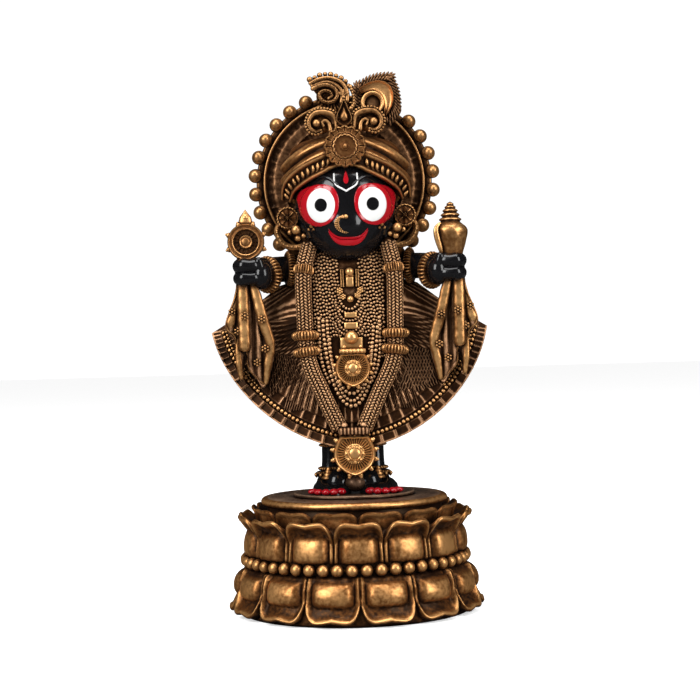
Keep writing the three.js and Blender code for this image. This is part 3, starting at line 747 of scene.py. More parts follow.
class Carving:
    """The faces of one piece while it is being carved, with how far each point stands out, which brightens
    it, and on some pieces painted highlights.
    """

    def __init__(self, place: Place) -> None:
        """Starts an empty carving.

        Args:
            place: Where it stands.
        """
        self.place = place
        self.points: list[Array] = []
        self.rub_and_highlight: list[Array] = []
        self.faces: list[Array] = []
        self.size = 0

    def add(self, points: Array, rub_and_highlight: Number, faces: Sequence[Array], away: Point | None = None) -> None:
        """Adds a form and turns its faces outward.

        Args:
            points: Its points, in shares.
            rub_and_highlight: How far each stands out, from 0 to 1.
            faces: Its triangles and quads, one array of each.
            away: The place that an open form turns its back on. A closed form has none.
        """
        made = self.place.metres(np.asarray(points, float).reshape(-1, 3))
        total = 0.0
        behind = made.mean(axis=0) if away is None else self.place.metres(np.asarray(away, float))
        for block in faces:
            a, b, c = (made[block[:, k]] for k in range(3))
            normal = np.cross(b - a, c - a)
            if block.shape[1] == 4:
                normal = normal + np.cross(c - a, made[block[:, 3]] - a)
            total += float((normal * (a - behind)).sum())
        for block in faces:
            self.faces.append((block[:, ::-1] if total < 0 else block) + self.size)
        self.points.append(made)
        self.rub_and_highlight.append(np.broadcast_to(np.asarray(rub_and_highlight, float).reshape(-1), (len(made),)))
        self.size += len(made)

    def sheet(
        self,
        points: Array,
        rub_and_highlight: Number,
        around: bool = False,
        ring: bool = False,
        away: Point | None = None,
    ) -> None:
        """Adds a surface laid out in rows and columns.

        Args:
            points: Its points by row and column.
            rub_and_highlight: How far each stands out.
            around: Whether the columns close on themselves.
            ring: Whether the rows do too.
            away: The place that it turns its back on.
        """
        rows, columns = points.shape[:2]
        r, c = np.meshgrid(
            np.arange(rows if ring else rows - 1),
            np.arange(columns if around else columns - 1),
            indexing="ij",
        )
        r2, c2 = (r + 1) % rows, (c + 1) % columns
        corners = (r * columns + c, r * columns + c2, r2 * columns + c2, r2 * columns + c)
        quads = np.stack(corners, -1).reshape(-1, 4)
        self.add(points, np.broadcast_to(rub_and_highlight, points.shape[:2]), [quads], away)

    def shell(self, points: Array, rub_and_highlight: Number) -> None:
        """Adds a closed form whose first and last rows are each one point.

        Args:
            points: Its points by row and column.
            rub_and_highlight: How far each stands out.
        """
        rows, columns = points.shape[:2]
        high = np.broadcast_to(rub_and_highlight, (rows, columns))
        inner = points[1:-1].reshape(-1, 3)
        whole = np.vstack([points[0, :1], inner, points[-1, :1]])
        lift = np.concatenate([high[0, :1], high[1:-1].reshape(-1), high[-1, :1]])
        c = np.arange(columns)
        c2 = (c + 1) % columns
        r = np.arange(rows - 3)[:, None] * columns + 1
        quads = np.stack([r + c, r + c2, r + columns + c2, r + columns + c], -1).reshape(-1, 4)
        last = 1 + (rows - 3) * columns
        first = np.stack((np.zeros_like(c), 1 + c2, 1 + c), -1)
        final = np.stack((np.full_like(c, len(whole) - 1), last + c, last + c2), -1)
        self.add(whole, lift, [quads, np.vstack([first, final])])

    def strip(self, face: Array, behind: Number, rub_and_highlight: Array, plain: float) -> None:
        """Adds a band with a carved face and a plain back, closed at both ends.

        Args:
            face: The places of its face, by row along it and column across it.
            behind: The depth of its back.
            rub_and_highlight: How far its face stands out.
            plain: How far its back does.
        """
        back = face[:, ::-1].copy()
        back[..., 1] = np.broadcast_to(behind, face.shape[:2])[:, ::-1]
        ring = np.concatenate([face, back], axis=1)
        ends = (ring[:1].mean(axis=1, keepdims=True), ring[-1:].mean(axis=1, keepdims=True))
        first, last = (np.repeat(end, ring.shape[1], axis=1) for end in ends)
        lift = np.concatenate([rub_and_highlight, np.full_like(rub_and_highlight, plain)], axis=1)
        self.shell(np.concatenate([first, ring, last]), np.vstack([lift[:1], lift, lift[-1:]]))

    def tube(
        self,
        route: Array,
        radius: Number,
        sides: int = 10,
        rub_and_highlight: Number = 0.9,
        flat: float = 1.0,
        up: Point = (0.0, 1.0, 0.0),
        closed: bool = False,
    ) -> None:
        """Adds a bar along a route, with round ends.

        Args:
            route: The places along it.
            radius: Its radius, or one for each place.
            sides: How many sides it has.
            rub_and_highlight: How far its outer side stands out.
            flat: Its thickness over the route against its width.
            up: The direction that counts as over the route.
            closed: Whether it is a ring.
        """
        route = np.asarray(route, float)
        radii = np.broadcast_to(radius, (len(route),)).astype(float)
        if closed:
            wide = np.vstack([route[-1:], route, route[:1]])
            _, across, over = (f[1:-1] for f in frames(wide, up))
        else:
            ahead, across, over = frames(route, up)
            caps = np.array([0.0, 0.5, 0.87])
            back = np.sqrt(1 - caps**2)[:, None]
            route = np.vstack([route[:1] - ahead[:1] * radii[0] * back * flat, route])
            route = np.vstack([route, (route[-1:] + ahead[-1:] * radii[-1] * back * flat)[::-1]])
            radii = np.concatenate([radii[0] * caps, radii, (radii[-1] * caps)[::-1]])
            across = np.vstack([across[:1]] * 3 + [across] + [across[-1:]] * 3)
            over = np.vstack([over[:1]] * 3 + [over] + [over[-1:]] * 3)
        a = angles(sides)
        sweep = across[:, None] * np.cos(a)[:, None] + over[:, None] * (np.sin(a) * flat)[:, None]
        points = route[:, None] + sweep * radii[:, None, None]
        lift = np.broadcast_to(rub_and_highlight, (sides,)) * (0.55 + 0.45 * np.sin(a))
        lift = np.broadcast_to(lift, points.shape[:2])
        if closed:
            self.sheet(points, lift, around=True, ring=True)
        else:
            self.shell(points, lift)

    def stones(
        self,
        places: Array,
        radius: Number,
        out: Array | Point = (0.0, 1.0, 0.0),
        detail: int = 1,
        axes: Array | None = None,
        low: float = 0.1,
    ) -> None:
        """Adds beads or grains.

        Args:
            places: Their middles, one to a row.
            radius: Their radius, or one for each.
            out: The direction that counts as outward, or one for each.
            detail: How finely they are rounded.
            axes: Three half axes for each grain, where they aren't round.
            low: How far the side that faces in stands out.
        """
        places = np.asarray(places, float).reshape(-1, 3)
        ball, faces = stone(detail)
        radii = np.broadcast_to(radius, (len(places),)).astype(float)
        outward = np.broadcast_to(np.asarray(out, float), places.shape)
        if axes is None:
            offsets = ball[None] * radii[:, None, None]
        else:
            offsets = np.einsum("vk,nkj->nvj", ball, axes) * radii[:, None, None]
        reach = np.linalg.norm(offsets, axis=2).max(axis=1)[:, None]
        lift = (offsets * outward[:, None]).sum(axis=2) / reach
        whole = (places[:, None] + offsets).reshape(-1, 3)
        every = (faces[None] + (np.arange(len(places)) * len(ball))[:, None, None]).reshape(-1, 3)
        if axes is not None and np.linalg.det(axes[0]) < 0:
            every = every[:, ::-1]
        made = self.place.metres(whole)
        self.points.append(made)
        self.rub_and_highlight.append(np.clip(mix(low, 1.0, 0.5 + 0.5 * lift), 0, 1).reshape(-1))
        self.faces.append(every[:, ::-1] + self.size)
        self.size += len(made)

    def bead(self, place: Point, size: float | Point, detail: int = 3, low: float = 0.1) -> None:
        """Adds one bead.

        Args:
            place: Its middle.
            size: Its radius, or its three half axes.
            detail: How finely it is rounded.
            low: How far the side that faces in stands out.
        """
        if isinstance(size, tuple):
            self.stones(place, 1.0, axes=np.diag(size)[None], detail=detail, low=low)
        else:
            self.stones(place, size, detail=detail, low=low)

    def disc(
        self,
        centre: Point,
        reach: Callable[[Array], Array],
        form: Callable[[Array, Array], Array],
        rings: int,
        segments: int,
        back: float,
        gain: float = 1.6,
        span: int = 4,
    ) -> None:
        """Adds a carved round that faces the front, with a plain side and back.

        Args:
            centre: Its middle, with y where its heights start.
            reach: Its radius by the angle, where 0 is straight up.
            form: Its height by the share of the radius and the angle.
            rings: How many rings of points it has.
            segments: How many points go round.
            back: How far its back lies behind y.
            gain: How strongly its relief counts as raised.
            span: How many rings a neighbourhood spans.
        """
        a = angles(segments)
        s = np.linspace(0, 1, rings)[:, None]
        share, angle = np.broadcast_arrays(s, a[None])
        radius = reach(a)[None] * share
        height = form(share, angle) * np.ones_like(share)
        lift = stand_out(height, span, gain, wrap=True)
        radius = np.vstack([radius, reach(a)[None] * 0.97, np.zeros((1, segments))])
        height = np.vstack([height, np.full((2, segments), -back)])
        lift = np.vstack([lift, np.full((2, segments), 0.1)])
        turn = np.broadcast_to(a, radius.shape)
        x, y, z = centre
        points = xyz(x + radius * np.sin(turn), y + height, z + radius * np.cos(turn))
        points[0] = points[0].mean(axis=0)
        self.shell(points, lift)

    def piece(self, name: str, finish: Finish, sharp: float) -> None:
        """Makes the carving a piece of the object.

        Args:
            name: The piece's name.
            finish: Its finish.
            sharp: The angle from which an edge stays sharp, in degrees.
        """
        mesh = bpy.data.meshes.new(name)
        points = np.vstack(self.points).astype(np.float32)
        loops = np.concatenate([f.reshape(-1) for f in self.faces]).astype(np.int32)
        sizes = np.concatenate([np.full(len(f), f.shape[1]) for f in self.faces])
        starts = np.concatenate([[0], np.cumsum(sizes)[:-1]]).astype(np.int32)
        mesh.vertices.add(len(points))
        mesh.vertices.foreach_set("co", points.ravel())
        mesh.loops.add(len(loops))
        mesh.loops.foreach_set("vertex_index", loops)
        mesh.polygons.add(len(sizes))
        mesh.polygons.foreach_set("loop_start", starts)
        mesh.update(calc_edges=True)
        # This attribute brightens the gold by how far each point stands out; on the kerchief folds and the
        # skirt it also carries painted highlights.
        lift = mesh.attributes.new("rub_and_highlight", "FLOAT", "POINT")
        lift.data.foreach_set("value", np.concatenate(self.rub_and_highlight).astype(np.float32))
        mesh.shade_smooth()
        mesh.set_sharp_from_angle(angle=math.radians(sharp))
        mesh.materials.append(material_of(finish))
        made = bpy.data.objects.new(name, mesh)
        bpy.context.scene.collection.objects.link(made)
        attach(made, "root")
        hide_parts(self.place.node.value)
        triangles = int((sizes - 2).sum())
        log.info("%s: %d triangles", name, triangles)
        TALLY.append(triangles)


def reach_of(edge: Sequence[Spot], centre: Spot, a: Array) -> Array:
    """An outline's reach from a centre at each angle from straight up.

    Args:
        edge: The outline's places across and up.
        centre: The centre.
        a: The angles.

    Returns:
        The reach at each.
    """
    route = along(edge, 400, closed=True) - centre
    turn = np.arctan2(route[:, 0], route[:, 1]) % TURN
    order = np.argsort(turn)
    far = np.hypot(route[:, 0], route[:, 1])[order]
    return np.interp(a % TURN, turn[order], far, period=TURN)
# The studio.


@dataclass(frozen=True)
class SoftBox:
    """A soft light that looks at a point of the figure."""

    name: str
    place: Point
    size: Spot
    watts: float
    aim: Point = (0.0, 0.0, 0.09)

    def hang(self) -> None:
        """Hangs it in the scene."""
        lamp = bpy.data.lights.new(self.name, "AREA")
        lamp.shape = "RECTANGLE"
        lamp.size, lamp.size_y = self.size
        lamp.energy = self.watts
        made = bpy.data.objects.new(self.name, lamp)
        bpy.context.scene.collection.objects.link(made)
        made.location = self.place
        aim = np.subtract(self.aim, self.place)
        made.rotation_euler = Vector(aim).to_track_quat("-Z", "Y").to_euler()


@dataclass(frozen=True)
class Studio:
    """The floor, the light and the camera."""

    eye: Point = (0.0, -0.517, 0.0867)
    lens: float = 79.0
    sensor: float = 36.0
    nearest: float = 0.01
    roll: float = -1.6
    floor_half: float = 6.0
    floor_shade: Colour = (0.93, 0.93, 0.93)
    mirrored_floor: float = 0.07
    floor_lift: float = 0.5
    room: float = 0.5
    seen_room: float = 1.1
    mirrored_room: float = 0.035
    boxes: tuple[SoftBox, ...] = (
        SoftBox("key_left", (-0.75, -0.75, 0.6), (0.5, 0.8), 14.0),
        SoftBox("key_right", (0.8, -0.65, 0.45), (0.4, 0.8), 9.5),
        SoftBox("top", (0.0, -0.25, 1.0), (0.8, 0.5), 9.0),
    )

    def set_up(self) -> None:
        """Builds the whole studio."""
        self.lay_floor()
        self.light_room()
        for box in self.boxes:
            box.hang()
        self.place_camera()

    def lay_floor(self) -> None:
        """Lays the pale floor."""
        h = self.floor_half
        mesh = bpy.data.meshes.new("floor")
        mesh.from_pydata([(-h, -h, 0), (h, -h, 0), (h, h, 0), (-h, h, 0)], [], [(0, 1, 2, 3)])
        floor = bpy.data.objects.new("floor", mesh)
        bpy.context.scene.collection.objects.link(floor)
        material, graph, shader = new_material("pale_floor")
        rays = graph.add("LightPath").outputs
        values = {
            "Emission Color": (1.0, 1.0, 1.0),
            "Emission Strength": graph.maths("MULTIPLY", rays["Is Camera Ray"], self.floor_lift),
            "Base Color": graph.blend(rays["Is Glossy Ray"], self.floor_shade, (self.mirrored_floor,) * 3),
            "Roughness": 0.9,
            "Specular IOR Level": 0.1,
        }
        graph.feed(shader, values)
        mesh.materials.append(material)

    def light_room(self) -> None:
        """Fills the room with white light that reflections see dimmer."""
        world = bpy.data.worlds.new("studio")
        bpy.context.scene.world = world
        world.use_nodes = True
        graph = Graph(world.node_tree)
        back = world.node_tree.nodes["Background"]
        rays = graph.add("LightPath").outputs
        seen = graph.maths("MULTIPLY", rays["Is Camera Ray"], self.seen_room - self.room)
        mirrored = graph.maths("MULTIPLY", rays["Is Glossy Ray"], self.mirrored_room - self.room)
        change = graph.maths("ADD", seen, mirrored, clamp=False)
        strength = graph.maths("ADD", change, self.room, clamp=False)
        graph.feed(back, {"Color": (1.0, 1.0, 1.0), "Strength": strength})

    def place_camera(self) -> None:
        """Places the camera where the photograph was taken from."""
        lens = bpy.data.cameras.new("camera")
        lens.lens, lens.sensor_width, lens.clip_start = self.lens, self.sensor, self.nearest
        camera = bpy.data.objects.new("camera", lens)
        bpy.context.scene.collection.objects.link(camera)
        turn = Matrix.Rotation(math.radians(90), 4, "X") @ Matrix.Rotation(math.radians(self.roll), 4, "Z")
        camera.matrix_world = Matrix.Translation(self.eye) @ turn
        bpy.context.scene.camera = camera
        bpy.context.scene.view_settings.view_transform = "Standard"


# The plinth.


def across_petal(angle: Array, petals: int, shift: float) -> Array:
    """The place across a petal, from -1 to 1, at an angle from the front."""
    turns = angle / TURN * petals + 0.5 + shift
    return 2 * (turns - np.floor(turns + 1e-9)) - 1


@dataclass(frozen=True)
class PetalRow:
    """One row of petals: a bulging panel inside a rim that stands proud and ends in a curled, two-lobed lip.
    """

    root_z: float
    height: float
    base: Line
    shift: float
    bulge: float
    bulge_at: float
    bulge_half: float
    lip: float
    shoulder: float = 0.42
    cusp: float = 0.06
    rim: float = 0.75
    half_width: float = 8.6
    sag: float = 0.0

    def rows(self, angle: Array, petals: int, steps: int) -> tuple[Array, Array, Array]:
        """The row's surface from its root to its lip.

        Args:
            angle: The angles from the front.
            petals: How many petals go round.
            steps: How many rows of points it has.

        Returns:
            Its radii, its heights and how far each point stands out.
        """
        p = across_petal(angle, petals, self.shift)[None]
        u = np.linspace(0, 1, steps)[:, None]
        notch = np.clip(1 - 1.7 * np.abs(p), 0, 1) ** 1.3
        edge = 1 - self.shoulder * np.abs(p) ** 6 - self.cusp * notch
        base = follow(u, self.base) * np.ones_like(p)
        side = (1 - np.abs(p)) * self.half_width
        tip = (1 - u) * abs(self.height) * edge
        inward = -np.log(np.exp(-1.6 * side) + np.exp(-1.6 * tip)) / 1.6
        rim = crest(inward - 0.75, 0.62)
        across = np.clip(1 - np.abs(p / 0.78) ** 3.0, 0, 1) ** 0.55
        v = u * edge + self.sag * (1 - p**2)
        up = np.clip(1 - np.abs((v - self.bulge_at) / self.bulge_half) ** 3.0, 0, 1) ** 0.55
        panel = across * up
        curl = ease(0.62, 1.0, u) * (1 - np.abs(p) ** 6)
        hollow = crest(inward - 2.3, 1.0) * (1 - panel)
        r = base + self.bulge * panel + self.rim * rim + self.lip * curl - 0.6 * hollow
        r = r - 0.5 * crest(side, 0.35)
        lift = np.clip(0.08 + 0.85 * rim + 0.66 * panel + 0.2 * curl * (1 - hollow), 0, 1)
        return r, self.root_z + self.height * u * edge, lift


@dataclass(frozen=True)
class LotusPlinth:
    """The round plinth: two rows of petals round a string of beads, and the seat on top."""

    petals: int = 14
    columns: int = 30
    beads: int = 50
    bead_radius: float = 2.02
    bead_circle: float = 36.75
    channel: float = 35.5
    seat: float = 31.3
    seat_low: float = 35.6
    seat_top: float = 38.1
    edge_round: float = 1.1
    grain: float = 0.6
    turn: float = 1.6
    lower: PetalRow = PetalRow(
        root_z=15.7,
        height=-14.4,
        base=((0, 35.8), (0.03, 37.0), (0.12, 37.9), (0.4, 38.9), (0.66, 39.1), (0.8, 39.5), (1, 40.0)),
        shift=0.5,
        bulge=2.3,
        bulge_at=0.36,
        bulge_half=0.27,
        lip=2.33,
        sag=-0.03,
    )
    upper: PetalRow = PetalRow(
        root_z=19.6,
        height=13.2,
        base=((0, 35.5), (0.05, 35.7), (0.3, 35.5), (0.62, 35.0), (0.8, 35.3), (1, 36.0)),
        shift=0.0,
        bulge=2.3,
        bulge_at=0.3,
        bulge_half=0.36,
        lip=3.1,
        half_width=7.8,
    )
    inner: PetalRow = PetalRow(
        root_z=30.0,
        height=5.4,
        base=((0, 33.0), (1, 33.6)),
        shift=0.5,
        bulge=0.0,
        bulge_at=0.4,
        bulge_half=0.4,
        lip=0.9,
        rim=0.45,
        half_width=7.2,
    )
    foot_rows: Table = ((0.0, 0.0, 0.2), (38.4, 0.0, 0.3), (39.2, 0.5, 0.45), (39.4, 1.1, 0.5))
    well_rows: Table = ((30.6, 32.6, 0.0), (29.3, 33.8, 0.0), (29.3, 35.7, 0.0), (0.0, 35.7, 0.0))

    def build(self) -> None:
        """Builds and dresses the plinth."""
        low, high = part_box(Node.PLINTH.value)
        place = Place(Node.PLINTH, (high[2] - low[2]) / self.seat_top, low[2], self.turn)
        place.carve("plinth_petals", Finish.BRONZE, self.carve_petals, 70)
        place.carve("plinth_beads", Finish.BRONZE, self.string_beads)
        place.carve("seat_rim", Finish.BRONZE, self.turn_rim)
        place.carve("seat_top", Finish.SATIN_BROWN, self.turn_seat)

    def carve_petals(self, made: Carving) -> None:
        """Carves both rows of petals and the small row behind them.

        Args:
            made: The carving it goes into.
        """
        a = angles(self.petals * self.columns)
        one = np.ones_like(a)
        radii, heights, lifts = [], [], []

        def row(r: Number, z: Number, lift: float) -> None:
            """Adds one row of points.

            Args:
                r: Their radii.
                z: Their heights.
                lift: How far they stand out.
            """
            radii.append(r * one)
            heights.append(z * one)
            lifts.append(lift * one)

        for ring in self.foot_rows:
            row(*ring)
        r, z, lift = self.lower.rows(a, self.petals, 30)
        row(np.minimum(r[-1] - 0.8, 39.2), z[-1] - 0.45, 0.2)
        row(r[-1] - 0.25, z[-1] - 0.22, 0.6)
        for ring in zip(r[::-1], z[::-1], lift[::-1]):
            row(*ring)
        row(self.channel, self.lower.root_z + 0.15, 0.0)
        row(self.channel, self.upper.root_z - 0.1, 0.0)
        r, z, lift = self.upper.rows(a, self.petals, 30)
        for ring in zip(r, z, lift):
            row(*ring)
        row(r[-1] - 0.5, z[-1] + 0.3, 0.85)
        row(r[-1] - 1.0, z[-1] - 0.1, 0.3)
        row(34.2, np.minimum(z[-1] - 1.5, 29.5), 0.0)
        row(33.2, 29.4, 0.0)
        r, z, lift = self.inner.rows(a, self.petals, 10)
        for ring in zip(r, z, lift * 0.9):
            row(*ring)
        row(r[-1] - 0.5, z[-1] + 0.1, 0.6)
        row(r[-1] - 1.1, z[-1] - 0.7, 0.1)
        for ring in self.well_rows:
            row(*ring)
        made.shell(level_ring(np.stack(radii), a, np.stack(heights)), np.stack(lifts))

    def string_beads(self, made: Carving) -> None:
        """Strings the beads in the channel between the rows.

        Args:
            made: The carving it goes into.
        """
        a = angles(self.beads, 0.5)
        out = level_ring(1.0, a, 0)
        middle = (self.lower.root_z + self.upper.root_z) / 2
        made.stones(out * self.bead_circle + (0, 0, middle), self.bead_radius, out, detail=2)
        out = level_ring(1.0, angles(self.beads), 0)
        behind = out * (self.bead_circle - 1.0) + (0, 0, middle)
        made.stones(behind, self.grain, out, detail=1, low=0.0)

    def turn_rim(self, made: Carving) -> None:
        """Turns the seat's rounded gold edge.

        Args:
            made: The carving it goes into.
        """
        a = angles(180)
        s = np.linspace(-1, 1, 15)
        half = (self.seat_top - self.seat_low) / 2
        swell = self.edge_round * np.abs(np.cos(s * math.pi / 2)) ** 0.6
        r = np.concatenate([[self.seat - 2.6], self.seat - self.edge_round + swell])
        z = np.concatenate([[self.seat_low], self.seat_low + half + half * s])
        r = np.append(r, self.seat - 3.0)
        z = np.append(z, self.seat_top - 0.1)
        points = level_ring(r[:, None], a, z[:, None])
        lift = np.concatenate([[0.1], 0.45 + 0.5 * np.cos(s * math.pi / 2), [0.5]])[:, None]
        made.sheet(points, lift * np.ones_like(a), around=True, away=(0, 0, self.seat_low + half))

    def turn_seat(self, made: Carving) -> None:
        """Turns the seat's flat top, with the low wear of a hand-painted casting.

        Args:
            made: The carving it goes into.
        """
        a = angles(120)
        s = np.linspace(0, 1, 26)[:, None]
        r = s * (self.seat - 1.0)
        wave = 0.05 * np.sin(a * 3 + r * 0.6) * np.sin(r * 0.9)
        z = self.seat_top - 0.06 + wave * (1 - ease(0.85, 1.0, s))
        top = level_ring(r, a, z)
        under = level_ring(0.0, a, self.seat_low + 0.4)[None]
        side = level_ring(r[-1], a, self.seat_low + 0.4)[None]
        top[0] = top[0].mean(axis=0)
        tone = 0.5 + 0.2 * np.sin(a * 2 + r * 0.35) * np.sin(r * 0.5) + 0.3 * ease(0.9, 1.0, s)
        made.shell(np.vstack([top, side, under]), np.vstack([tone, np.full((2, len(a)), 0.2)]))


# The dress and the garlands.


def figure_place() -> Place:
    """Where the figure stands, in shares of its height."""
    low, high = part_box(Node.FIGURE.value)
    return Place(Node.FIGURE, (high[2] - low[2]) / SHARES, low[2])


@dataclass(frozen=True)
class Skirt:
    """The pleated skirt that fans out from the waist, with a banded hem."""

    centre_z: float = 62.6
    radius: float = 46.8
    spread: float = 80.9
    waist: float = 9.0
    tip: float = 1.5
    front: float = 13.4
    back: float = 9.4
    shoulder_top: float = 77.0
    shoulder: Line = ((0, 1), (0.5, 0.7), (0.65, 0.455), (0.82, 0.23), (1, 0))
    border: Spot = (-1.0, 3.0)
    inset: Spot = (5.4, 8.4)
    flat: Spot = (2.1, 1.2)
    source: float = 81.0
    folds: float = 73.0
    blocks: float = 13.0
    crowd: float = 0.456
    hem_columns: int = 490
    top_columns: int = 72
    cords: tuple[int, int] = (12, 0)
    threads: tuple[int, int] = (0, 10)
    crossings: int = 11
    hem_rows: Table = ((3.9, 78, 0.72, 0.0), (4.95, 100, 0.5, 0.6))

    def edge(self) -> tuple[Array, Array, Array, Array]:
        """The skirt's edge, round through the hem and back by the shoulders.

        Returns:
            Its x, its z, how low it hangs and its place along the hem, from -1 to 1, or 2 above it.
        """
        limit = math.radians(self.spread)
        h = np.linspace(-1, 1, self.hem_columns, endpoint=False)
        reach = self.radius - np.where(h < 0, *self.flat) * np.sin(math.pi * np.abs(h))
        x = reach * np.sin(h * limit)
        z = self.centre_z - reach * np.cos(h * limit)
        low = np.clip(np.cos(h * math.pi / 2), 0, 1) ** 0.8
        tip_x = self.radius * math.sin(limit)
        tip_z = self.centre_z - self.radius * math.cos(limit)
        t = np.linspace(-1, 1, self.top_columns, endpoint=False)
        top_x = -np.sign(t) * np.abs(t) * tip_x
        top_z = mix(tip_z, self.shoulder_top, follow(np.abs(t), self.shoulder))
        zero = np.zeros_like(t)
        return (
            np.concatenate([x, top_x]),
            np.concatenate([z, top_z]),
            np.concatenate([low, zero]),
            np.concatenate([h, np.full_like(t, 2.0)]),
        )

    def forward(self, out: Array, low: Array) -> Array:
        """How far forward the front stands, by the share of the way out and how low it hangs."""
        return mix(self.waist, mix(self.tip, self.front, low), out**1.6)

    def surface(self, x: Array, z: Array) -> Array:
        """How far forward the skirt's front stands at a place on it.

        Args:
            x: The places across.
            z: The places up.

        Returns:
            The depth at each.
        """
        down = self.centre_z - z
        h = np.arctan2(x, down) / math.radians(self.spread)
        low = np.clip(np.cos(h * math.pi / 2), 0, 1) ** 0.8
        return self.forward(np.hypot(x, down) / self.radius, low)

    def build(self) -> None:
        """Builds and dresses the skirt."""
        place = figure_place()
        place.carve("skirt", Finish.UMBER, self.carve, 80)
        place.carve("skirt_net", Finish.UMBER, self.lay_net)
        place.carve("hem_beads", Finish.GILT, self.string_hem)

    def carve(self, made: Carving) -> None:
        """Carves the pleated dish and its hem.

        Args:
            made: The carving it goes into.
        """
        x, z, low, h = self.edge()
        hem = h <= 1
        out = np.concatenate([np.linspace(0, 0.78, 18, endpoint=False), np.linspace(0.78, 1.0, 46)])[:, None]
        fx, fz = x * out, self.centre_z + (z - self.centre_z) * out
        block = (self.blocks * h * (1 + self.crowd * h**6)) % 1.0
        step = np.where(hem, block - 0.5, 0.0) * np.ones_like(out)
        bar = np.where(hem, crest(np.minimum(block, 1 - block), 0.1), 0.0)
        relief, lift = self.pattern(fx, fz, out, step, bar, hem)
        # Painted shade: in the columns that end in the hem, the pleats above about 50 shares lose their
        # brightness towards the middle, beside and behind the trunk and the garlands.
        lift = lift * np.where(hem, mix(1.0, ease(18.0, 25.5, np.abs(fx)), ease(47.0, 53.0, fz)), 1.0)
        deep = self.forward(out, low) + relief * np.where(hem, ease(0.0, 0.3, low), 0.5) * 1.15
        front = xyz(fx, deep, fz)
        back, back_lift = self.back_side(x, z, low, h)
        side_t = np.array([0.06, 0.35, 0.65, 0.94])[:, None, None]
        side = mix(front[-1][None], back[0][None], side_t)
        side_lift = np.broadcast_to(0.35 + 0.4 * bar, (4, len(x)))
        front[0], back[-1] = (0, self.waist, self.centre_z), (0, -self.waist, self.centre_z)
        made.shell(np.vstack([front, side, back]), np.vstack([np.clip(lift, 0, 1), side_lift, back_lift]))

    def pattern(
        self, fx: Array, fz: Array, out: Array, step: Array, bar: Array, hem: Array
    ) -> tuple[Array, Array]:
        """The pleats, and inside the hem its border, its lines and its bars.

        Args:
            fx: The places across.
            fz: The places up.
            out: The share of the way out of each row.
            step: How far each place is through its block of the hem, from -0.5 to 0.5.
            bar: How near it is to a bar between two blocks, up to 1.
            hem: Whether each column ends in the hem.

        Returns:
            How high the pattern stands, and how far each place stands out, with painted highlights on the
            hem's edge and its second line, and one side of each pleat painted lighter as its lit side.
        """
        inward = np.where(hem, (1 - out) * self.radius, 20.0)
        fold = self.folds * np.arctan2(fx, self.source - fz)
        pleat = crest(np.sin(fold), 0.42)
        slope = (fold * np.sign(fx[-1]) / math.pi) % 1.0
        border = band(inward, *self.border, 0.25)
        inset = band(inward, *self.inset, 0.3)
        field_in = ease(8.6, 9.4, inward) * ease(0.1, 0.3, out)
        lines = crest(inward - 0.3, 0.28) + crest(inward - 3.1, 0.26) + crest(inward - 5.4, 0.22)
        lines = lines + crest(inward - 8.7, 0.3)
        shine = crest(inward - 0.15, 0.35) + 0.6 * crest(inward - 3.1, 0.3)
        relief = border * (0.45 + 0.75 * step + 0.3 * bar) + 0.25 * lines + inset * (0.45 * bar - 0.3)
        relief = relief + field_in * (0.4 * pleat + 0.2 * slope)
        lift = border * (0.1 + 0.2 * step + 1.5 * bar) + 0.35 * lines
        lift = lift + inset * (0.15 + 0.3 * step + 0.8 * bar)
        # Painted light: shine is a painted highlight on the hem's outer edge and its second line, and the
        # square of slope paints one side of each pleat lighter as its lit side.
        return relief, lift + 0.55 * shine + field_in * (0.22 + 1.1 * pleat + 0.25 * slope**2)

    def back_side(self, x: Array, z: Array, low: Array, h: Array) -> tuple[Array, Array]:
        """The skirt's plain back, with shallow rays.

        Args:
            x: The edge's places across.
            z: The edge's places up.
            low: How low each hangs.
            h: Its place along the hem.

        Returns:
            The points from the edge to the middle, and how far each stands out.
        """
        out = np.linspace(1.0, 0.0, 13)[:, None]
        ray = np.where(h <= 1, np.cos(h * self.folds * 1.4), 0.0)
        behind = mix(self.waist, mix(self.tip, self.back, low), out**1.6)
        behind = behind + 0.32 * ray * ease(0.15, 0.5, out) * ease(0.0, 0.3, low)
        back = xyz(x * out, -behind, self.centre_z + (z - self.centre_z) * out)
        return back, np.broadcast_to(0.2 + 0.3 * (0.5 + 0.5 * ray), back.shape[:2])

    def lay_net(self, made: Carving) -> None:
        """Lays the wavy cords and the faint criss-cross threads on the pleats beside the garlands.

        Args:
            made: The carving it goes into.
        """
        for side, cords, threads in zip(SIDES, self.cords, self.threads):
            for k in range(cords):
                z = np.linspace(48.5 - 0.2 * k, 34.0 + 0.5 * k, 44)
                x = side * (26.6 - 0.68 * k - 0.025 * (48 - z) * k + 0.13 * np.sin(z * 3.1 + k * 2.1))
                route = xyz(x, self.surface(x, z) + 0.55, z)
                made.tube(route, 0.19 + 0.04 * np.cos(z * 6.2), sides=6, rub_and_highlight=0.5)
            for k in range(threads):
                for slope in (1.0, -1.0):
                    z = np.linspace(49.0 - 0.3 * k, 34.0 + 0.3 * k, 30)
                    x = 18.4 + k + slope * 0.42 * (41.5 - z) + 0.1 * np.sin(z * 2.7)
                    route = xyz(x, self.surface(x, z) + 0.5, z)
                    made.tube(route, 0.22, sides=6, rub_and_highlight=0.6)
            for k in range(self.crossings):
                for slope in (0.9, -0.9):
                    z = np.linspace(41.0, 29.0, 10)
                    x = side * (10.5 + 0.8 * k + slope * 0.35 * (41.0 - z))
                    route = xyz(x, self.surface(x, z) + 0.35, z)
                    made.tube(route, 0.16, sides=5, rub_and_highlight=0.5)

